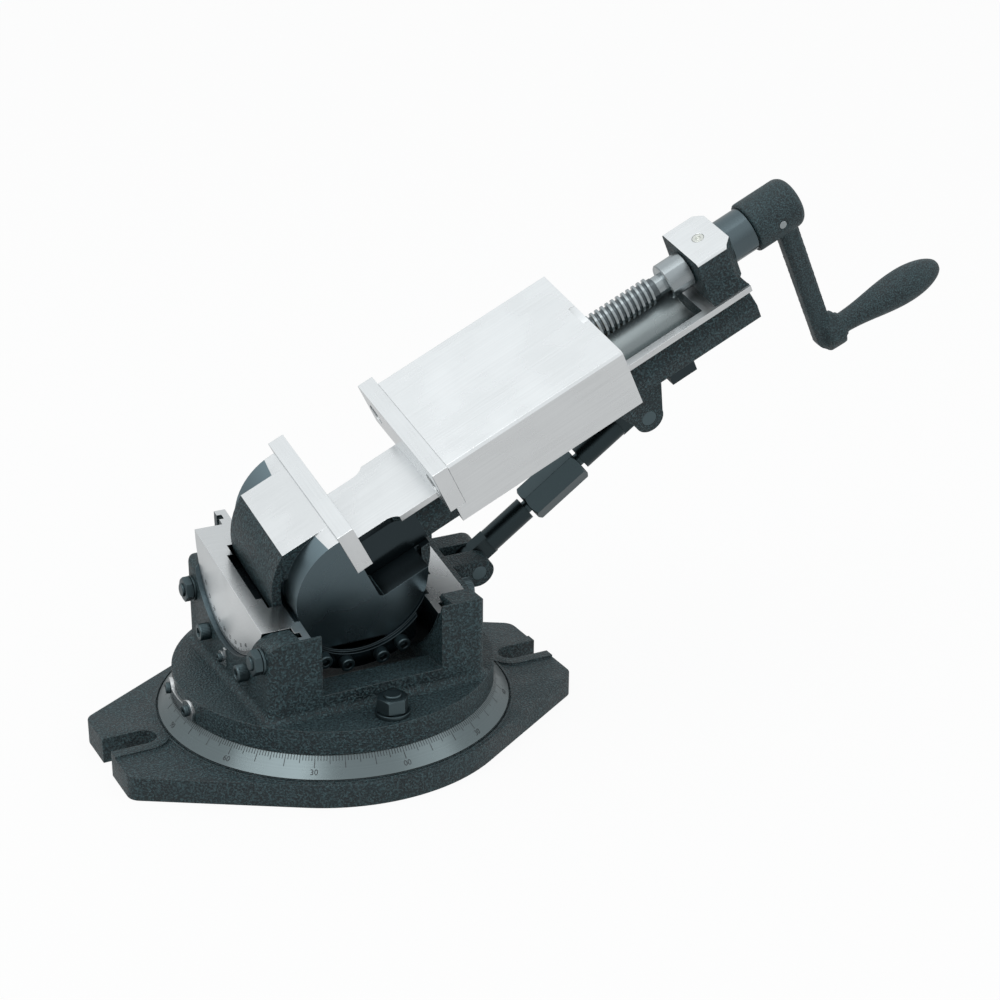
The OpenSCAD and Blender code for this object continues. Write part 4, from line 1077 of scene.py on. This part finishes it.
class VISE_OT_saddle(ViseOperator):
    """Rolling saddle with its bearing shoes, roll scale and brace bracket"""

    bl_idname = "vise.saddle"
    bl_label = "Saddle"

    def build(self, own):
        cast, end, top, milled = range(4)
        saddle_radius, saddle_half, saddle_drop, shoe_half = 54, 62, 14, 34

        def pick(spot, normal):
            if abs(normal.x) > 0.99 and abs(spot.x) > saddle_half - 1:
                return end
            if normal.z > 0.99 and spot.z > -saddle_drop - 0.2:
                return top
            if abs(normal.y) > 0.99 or abs(normal.x) > 0.99:
                return milled
            if math.hypot(spot.y, spot.z) < saddle_radius + 0.3 and abs(spot.x) > shoe_half:
                return milled
            return cast

        iron = [
            cast_paint(),
            turned_steel("saddle_end", roll_frame, (0.8, 0.83, 0.84), 0.3),
            ground_steel("saddle_top", roll_frame, 0.75),
            machined_iron("saddle", roll_frame, 0.5, 0.26),
        ]
        shape(
            "saddle", "saddle_casting", "saddle", iron, 0.5, roll_frame, pick
        )
        shoe = machined_iron("shoes", along_y(vise_frame), 0.3, 0.2)
        for side in ("near", "far"):
            node = side + "_disc_shoe"
            shape(side + "_shoe", node, "saddle", shoe, width=0.4)
        shape("bracket", "brace_bracket", "saddle", cast_paint(), width=1)
        pin = black_steel("_pins", along_y(vise_frame), 1.3)
        shape("lower_pin", "lower_brace_pin", "saddle", pin, width=0.5)
        marks = bmesh.new()
        rim, short_tick, long_tick = 53.7 * MM, 2 * MM, 3 * MM
        digit_inset, digit_height, lift = 5 * MM, 2.4 * MM, 0.03 * MM
        for degree in range(-45, 46):
            length = short_tick if degree % 5 else long_tick
            scale_line(marks, rim - length, rim, own.scale.line / 2, degree, Matrix())
        for degree in range(-40, 41, 10):
            turn = Matrix.Rotation(math.radians(degree), 4, "Z")
            out = Matrix.Translation((rim - digit_inset, 0, 0))
            scale_digits(marks, abs(degree), digit_height, turn @ out)
        # The scale's own X points down and its Z points out of the saddle's end face
        face = (
            Matrix.Translation((-saddle_half * MM - lift, 0, 0))
            @ Matrix.Rotation(-math.pi / 2, 4, "Y")
            @ Matrix.Rotation(math.pi, 4, "Z")
        )
        place = roll_frame @ face
        finish_piece("roll_scale_marks", marks, "saddle", ink(), matrix=place)


class VISE_OT_body(ViseOperator):
    """Vise body with its trunnion discs, bed and screw block"""

    bl_idname = "vise.body"
    bl_label = "Vise body"

    def build(self, own):
        cast, ground, trough, disc, rim, notch = range(6)
        # Where the finishes meet, in mm in the vise's own frame
        jaw_top, bed_top, bed_half, bed_end, edge_low = 42.5, 12.5, 26.5, 300, 8
        trough_start, trough_half, trough_low = 100, 21.5, -2
        drum_radius, disc_radius, disc_side = 48, 40, 31.5
        notch_start, notch_side, notch_floor = 5, 22, -12.8
        slot_side, lip_side, wall_side = 20, 25, 28
        across = along_y(vise_frame)

        def pick(spot, normal):
            radius, side = math.hypot(spot.x, spot.z), abs(spot.y)
            level = normal.z > 0.99
            if level and (spot.z > jaw_top - 3 or abs(spot.z - bed_top) < 0.5):
                return ground
            if spot.x > trough_start and side < trough_half + 0.2 and normal.z > 0.02:
                if trough_low < spot.z < bed_top + 0.1:
                    return trough
            if spot.x > disc_radius and side > bed_half - 0.5 and spot.z > edge_low:
                return ground
            # The notch's faces take the near-black iron: painted shade in the recess
            if side > notch_side and spot.x > notch_start and max(normal.x, normal.z) > 0.1:
                if radius < drum_radius and spot.z < bed_top - 0.5:
                    return notch
            if level and abs(spot.z - notch_floor) < 0.7:
                return notch
            # The slot under the bed's edge is milled all along, the side below only at the
            # disc; both take the near-black notch iron, painted shade in these recesses
            end = drum_radius if side > lip_side else bed_end
            if slot_side < side < wall_side and spot.x < end and abs(normal.y) > 0.9:
                return notch
            if side > disc_side and radius < disc_radius + 1:
                return disc if abs(normal.y) > 0.9 else rim
            return cast

        iron = [
            cast_paint(),
            ground_steel("bed", vise_frame, 0.9),
            turned_steel("trough_of_bed", across, (0.22, 0.25, 0.255), 0.25),
            machined_iron("discs", across, 0.95, 0.26),
            machined_iron("disc_rims", across, 1.3),
            # The notch's iron, darkened to 0.3, is painted shade in the notch and slot
            machined_iron("notch", across, 0.3, 0.24),
        ]
        split = drum_radius
        shape("body", "vise_body", "vise", iron, 0.7, vise_frame, pick, split)
        plate = ground_steel("plates", across)
        shape("fixed_plate", "fixed_jaw_plate", "vise", plate, width=0.4)

        block_low = 35

        def block_faces(spot, normal):
            return 1 if normal.z > 0.6 and spot.z > block_low else 0

        iron = [cast_paint(), ground_steel("block", vise_frame)]
        shape("block", "screw_block", "vise", iron, 0.7, vise_frame, block_faces)
        oiler = turned_steel("oiler", along_z(vise_frame), (0.72, 0.74, 0.7), 0.25)
        shape("oiler", "ball_oiler", "vise", oiler, width=0.3)
        ball = bmesh.new()
        ball_radius, ball_x, ball_z = 1.35 * MM, 270 * MM, 40.2 * MM
        bmesh.ops.create_uvsphere(ball, u_segments=24, v_segments=16, radius=ball_radius)
        seat = vise_frame @ Matrix.Translation((ball_x, 0, ball_z))
        finish_piece("oiler_ball", ball, "vise", oiler, matrix=seat)
        pin = black_steel("_pins", across, 1.3)
        shape("upper_pin", "upper_brace_pin", "vise", pin, width=0.5)


class VISE_OT_jaw(ViseOperator):
    """Movable jaw with its plate, hold-down strips and nut"""

    bl_idname = "vise.jaw"
    bl_label = "Movable jaw"

    def build(self, own):
        plate = ground_steel("plates", along_y(vise_frame))
        top = ground_steel("jaw", vise_frame)
        shape("jaw_plate", "movable_jaw_plate", "jaw", plate, width=0.4)
        shape("jaw_block", "movable_jaw", "jaw", top, width=0.4)
        strip = machined_iron("strips", vise_frame)
        dress("near_hold_down", strip)
        dress("far_hold_down", strip)
        nut = merged("jaw_nut")
        jaw_top = vise_frame @ Vector((0, 0, 42.45 * MM))
        rim = cut(nut, jaw_top, vise_frame.to_3x3() @ Z, True)
        for face in bmesh.ops.holes_fill(nut, edges=rim)["faces"]:
            face.material_index = 1
        finish_piece("screw_nut", nut, "jaw", [bronze(), top], replaces=["jaw_nut"])


class VISE_OT_screw(ViseOperator):
    """Threaded lead screw with its collars and the cranked handle"""

    bl_idname = "vise.screw"
    bl_label = "Screw and crank"

    def build(self, own):
        steel = turned_steel("screw", screw_frame)
        # The thread's root is a much darker copy of the turned steel: painted shade in the
        # grooves between the flanks
        painted_root_shade = turned_steel("screw_root", screw_frame, (0.12, 0.14, 0.15))
        core = bmesh.new()
        tip = [(0, 119), (5, 119), (6, 120), (6, 122)]
        threaded = [(6.6, 122.6), (6.6, 235), (6.2, 235.4), (6.2, 241)]
        front_collar = [(10.3, 241), (11, 241.7), (11, 256.1), (10.3, 256.8)]
        shank = [(7, 256.8), (7, 323), (0, 323)]
        lathe(core, tip + threaded + front_collar + shank)
        outward(core)
        root_from, root_to, thread_start = 122.7 * MM, 234.9 * MM, 122.8
        # Faces between root_from and root_to take the darker steel, painted shade at the
        # thread's root
        for face in core.faces:
            if root_from < face.calc_center_median().z < root_to:
                face.material_index = 1
        pitch, turns, steps = 3.63 * MM, 30, 36
        thread = bmesh.new()
        corners = [(6.5, 0), (8.2, 0.55), (8.2, 2.05), (6.5, 2.6)]
        verts = [thread.verts.new((r * MM, 0, (thread_start + z) * MM)) for r, z in corners]
        edges = [thread.edges.new((verts[k], verts[k - 1])) for k in range(len(verts))]
        bmesh.ops.spin(
            thread,
            geom=verts + edges,
            cent=(0, 0, 0),
            axis=(0, 0, -1),
            dvec=(0, 0, pitch / steps),
            angle=TURN * turns,
            steps=steps * turns,
            use_merge=False,
        )
        bmesh.ops.holes_fill(thread, edges=[e for e in thread.edges if e.is_boundary], sides=4)
        outward(thread)
        add_mesh(core, thread)
        finish_piece(
            "screw",
            core,
            "screw",
            [steel, painted_root_shade],
            matrix=screw_frame @ Matrix.Rotation(math.pi / 2, 4, "Y"),
            replaces=["lead_screw"],
        )
        # The rear collar is a darker copy of the screw's turned steel: painted shade
        dark = turned_steel("collar", screw_frame, (0.11, 0.145, 0.16), 0.2)
        shape("collar", "rear_collar", "screw", dark, width=0.7)
        crank = merged("crank_handle")
        paint = cast_paint("crank_paint", 0.7, 0.35)
        piece = finish_piece(
            "crank", crank, "screw", paint, replaces=["crank_handle"]
        )
        remesh = piece.modifiers.new("Even mesh", "REMESH")
        remesh.mode = "VOXEL"
        remesh.voxel_size = 0.8 * MM
        remesh.use_smooth_shade = True
        soften = piece.modifiers.new("Soft edges", "SMOOTH")
        soften.factor = 0.5
        soften.iterations = 6
        shape("drive_pin", "crank_pin", "screw", steel, width=0.4)


class VISE_OT_brace(ViseOperator):
    """Telescopic brace under the bed"""

    bl_idname = "vise.brace"
    bl_label = "Brace"

    def build(self, own):
        tube = black_steel("_brace", vise_frame, 0.5)
        face = black_steel("_hexagon", vise_frame, 0.9)
        for name, node, body, finish, width in (
            ("lower_tube", "brace_lower_tube", "brace_lower", tube, 0.6),
            ("hexagon", "brace_hex_adjuster", "brace_hexagon", face, 0.4),
            ("upper_tube", "brace_upper_tube", "brace_upper", tube, 0.6),
        ):
            shape(name, node, body, finish, width=width)


class VISE_OT_stage(ViseOperator):
    """Floor, room, lamps and camera"""

    bl_idname = "vise.stage"
    bl_label = "Stage"

    def build(self, own):
        stage = own.stage
        bm = bmesh.new()
        bmesh.ops.create_circle(bm, cap_ends=True, radius=9, segments=64)
        mesh = bpy.data.meshes.new("floor")
        bm.to_mesh(mesh)
        bm.free()
        floor = add_object("floor", mesh)
        material = bpy.data.materials.new("floor_paper")
        material.use_nodes = True
        tree = material.node_tree
        surface = given_node(tree, "BSDF_PRINCIPLED")
        surface.inputs["Base Color"].default_value = (*stage.floor, 1)
        surface.inputs["Roughness"].default_value = 0.9
        surface.inputs["Specular IOR Level"].default_value = 0.1
        glow = put(tree, "Emission", Color=(1, 1, 1, 1))
        path = put(tree, "LightPath")
        direct, mirrored = path.outputs["Is Camera Ray"], path.outputs["Is Glossy Ray"]
        seen = calc(tree, "MULTIPLY", calc(tree, "MAXIMUM", direct, mirrored), 0.93)
        level = calc(tree, "MULTIPLY_ADD", mirrored, -0.35, 1.0)
        tree.links.new(level, glow.inputs["Strength"])
        both = put(tree, "MixShader", Fac=seen, i1=surface.outputs[0], i2=glow.outputs[0])
        tree.links.new(both.outputs[0], given_node(tree, "OUTPUT_MATERIAL").inputs[0])
        mesh.materials.append(material)

        world = bpy.data.worlds.new("room")
        bpy.context.scene.world = world
        world.use_nodes = True
        tree = world.node_tree
        back = given_node(tree, "BACKGROUND")
        path = put(tree, "LightPath")
        way = put(tree, "TexCoord")
        parts = put(tree, "SeparateXYZ", Vector=way.outputs["Generated"])
        up = fade(tree, parts.outputs[2], -0.1, 0.8, 0.75, 1.25)
        room = calc(tree, "MULTIPLY", up, stage.sky)
        shiny = calc(tree, "MULTIPLY", up, 0.8)
        kind = {"data_type": "FLOAT"}
        direct, mirrored = path.outputs["Is Camera Ray"], path.outputs["Is Glossy Ray"]
        glossy = put(tree, "Mix", kind, i0=mirrored, i2=room, i3=shiny).outputs[0]
        level = put(tree, "Mix", kind, i0=direct, i2=glossy, i3=1.0).outputs[0]
        back.inputs["Color"].default_value = (0.97, 0.99, 1.0, 1)
        tree.links.new(level, back.inputs["Strength"])

        def lamp(name, power, size, place, aim):
            light = bpy.data.lights.new(name, "AREA")
            light.shape = "RECTANGLE"
            light.size, light.size_y = size
            light.energy = power
            holder = add_object(name, light)
            place, aim = Vector(place), Vector(aim)
            holder.location = place
            holder.rotation_euler = (aim - place).to_track_quat("-Z", "Y").to_euler()

        lamp("key_lamp", stage.key, (1.4, 1.0), (-0.9, -0.2, 1.7), (0.05, 0, 0.12))
        lamp("fill_lamp", stage.fill, (1.2, 1.2), (1.3, -1.3, 1.1), (0.05, 0, 0.15))

        camera = bpy.data.cameras.new("camera")
        camera.sensor_fit = "HORIZONTAL"
        camera.sensor_width = 36
        camera.lens = stage.lens
        camera.clip_start, camera.clip_end = 0.05, 60
        holder = add_object("camera", camera)
        turn = (
            Matrix.Rotation(stage.azimuth, 4, "Z")
            @ Matrix.Rotation(math.pi / 2 - stage.elevation, 4, "X")
            @ Matrix.Rotation(stage.tilt, 4, "Z")
        )
        holder.matrix_world = Matrix.Translation(stage.camera_place) @ turn
        bpy.context.scene.camera = holder
        bpy.context.scene.view_settings.view_transform = "Standard"


class VISE_PT_panel(bpy.types.Panel):
    """Steps that dress the vise"""

    bl_label = "Vise"
    bl_idname = "VISE_PT_panel"
    bl_space_type = "VIEW_3D"
    bl_region_type = "UI"
    bl_category = "Vise"

    def draw(self, context):
        own = context.scene.vise_settings
        for group in (own.casting, own.steel, own.scale, own.stage):
            box = self.layout.box()
            for key in group.__annotations__:
                box.prop(group, key)
        self.layout.prop(own, "facets")
        for step in STEPS:
            self.layout.operator(step.bl_idname)


STEPS = (
    VISE_OT_base,
    VISE_OT_swivel_scale,
    VISE_OT_turntable,
    VISE_OT_fasteners,
    VISE_OT_saddle,
    VISE_OT_body,
    VISE_OT_jaw,
    VISE_OT_screw,
    VISE_OT_brace,
    VISE_OT_stage,
)
GROUPS = (CastingSettings, SteelSettings, ScaleSettings, StageSettings, ViseSettings)


def register():
    for item in (*GROUPS, *STEPS, VISE_PT_panel):
        bpy.utils.register_class(item)
    bpy.types.Scene.vise_settings = PointerProperty(type=ViseSettings)


def unregister():
    del bpy.types.Scene.vise_settings
    for item in reversed((*GROUPS, *STEPS, VISE_PT_panel)):
        bpy.utils.unregister_class(item)


def main():
    register()
    for step in STEPS:
        area, name = step.bl_idname.split(".")
        if getattr(getattr(bpy.ops, area), name)() != {"FINISHED"}:
            raise RuntimeError("A step did not finish: " + step.bl_label)


if __name__ == "__main__":
    main()
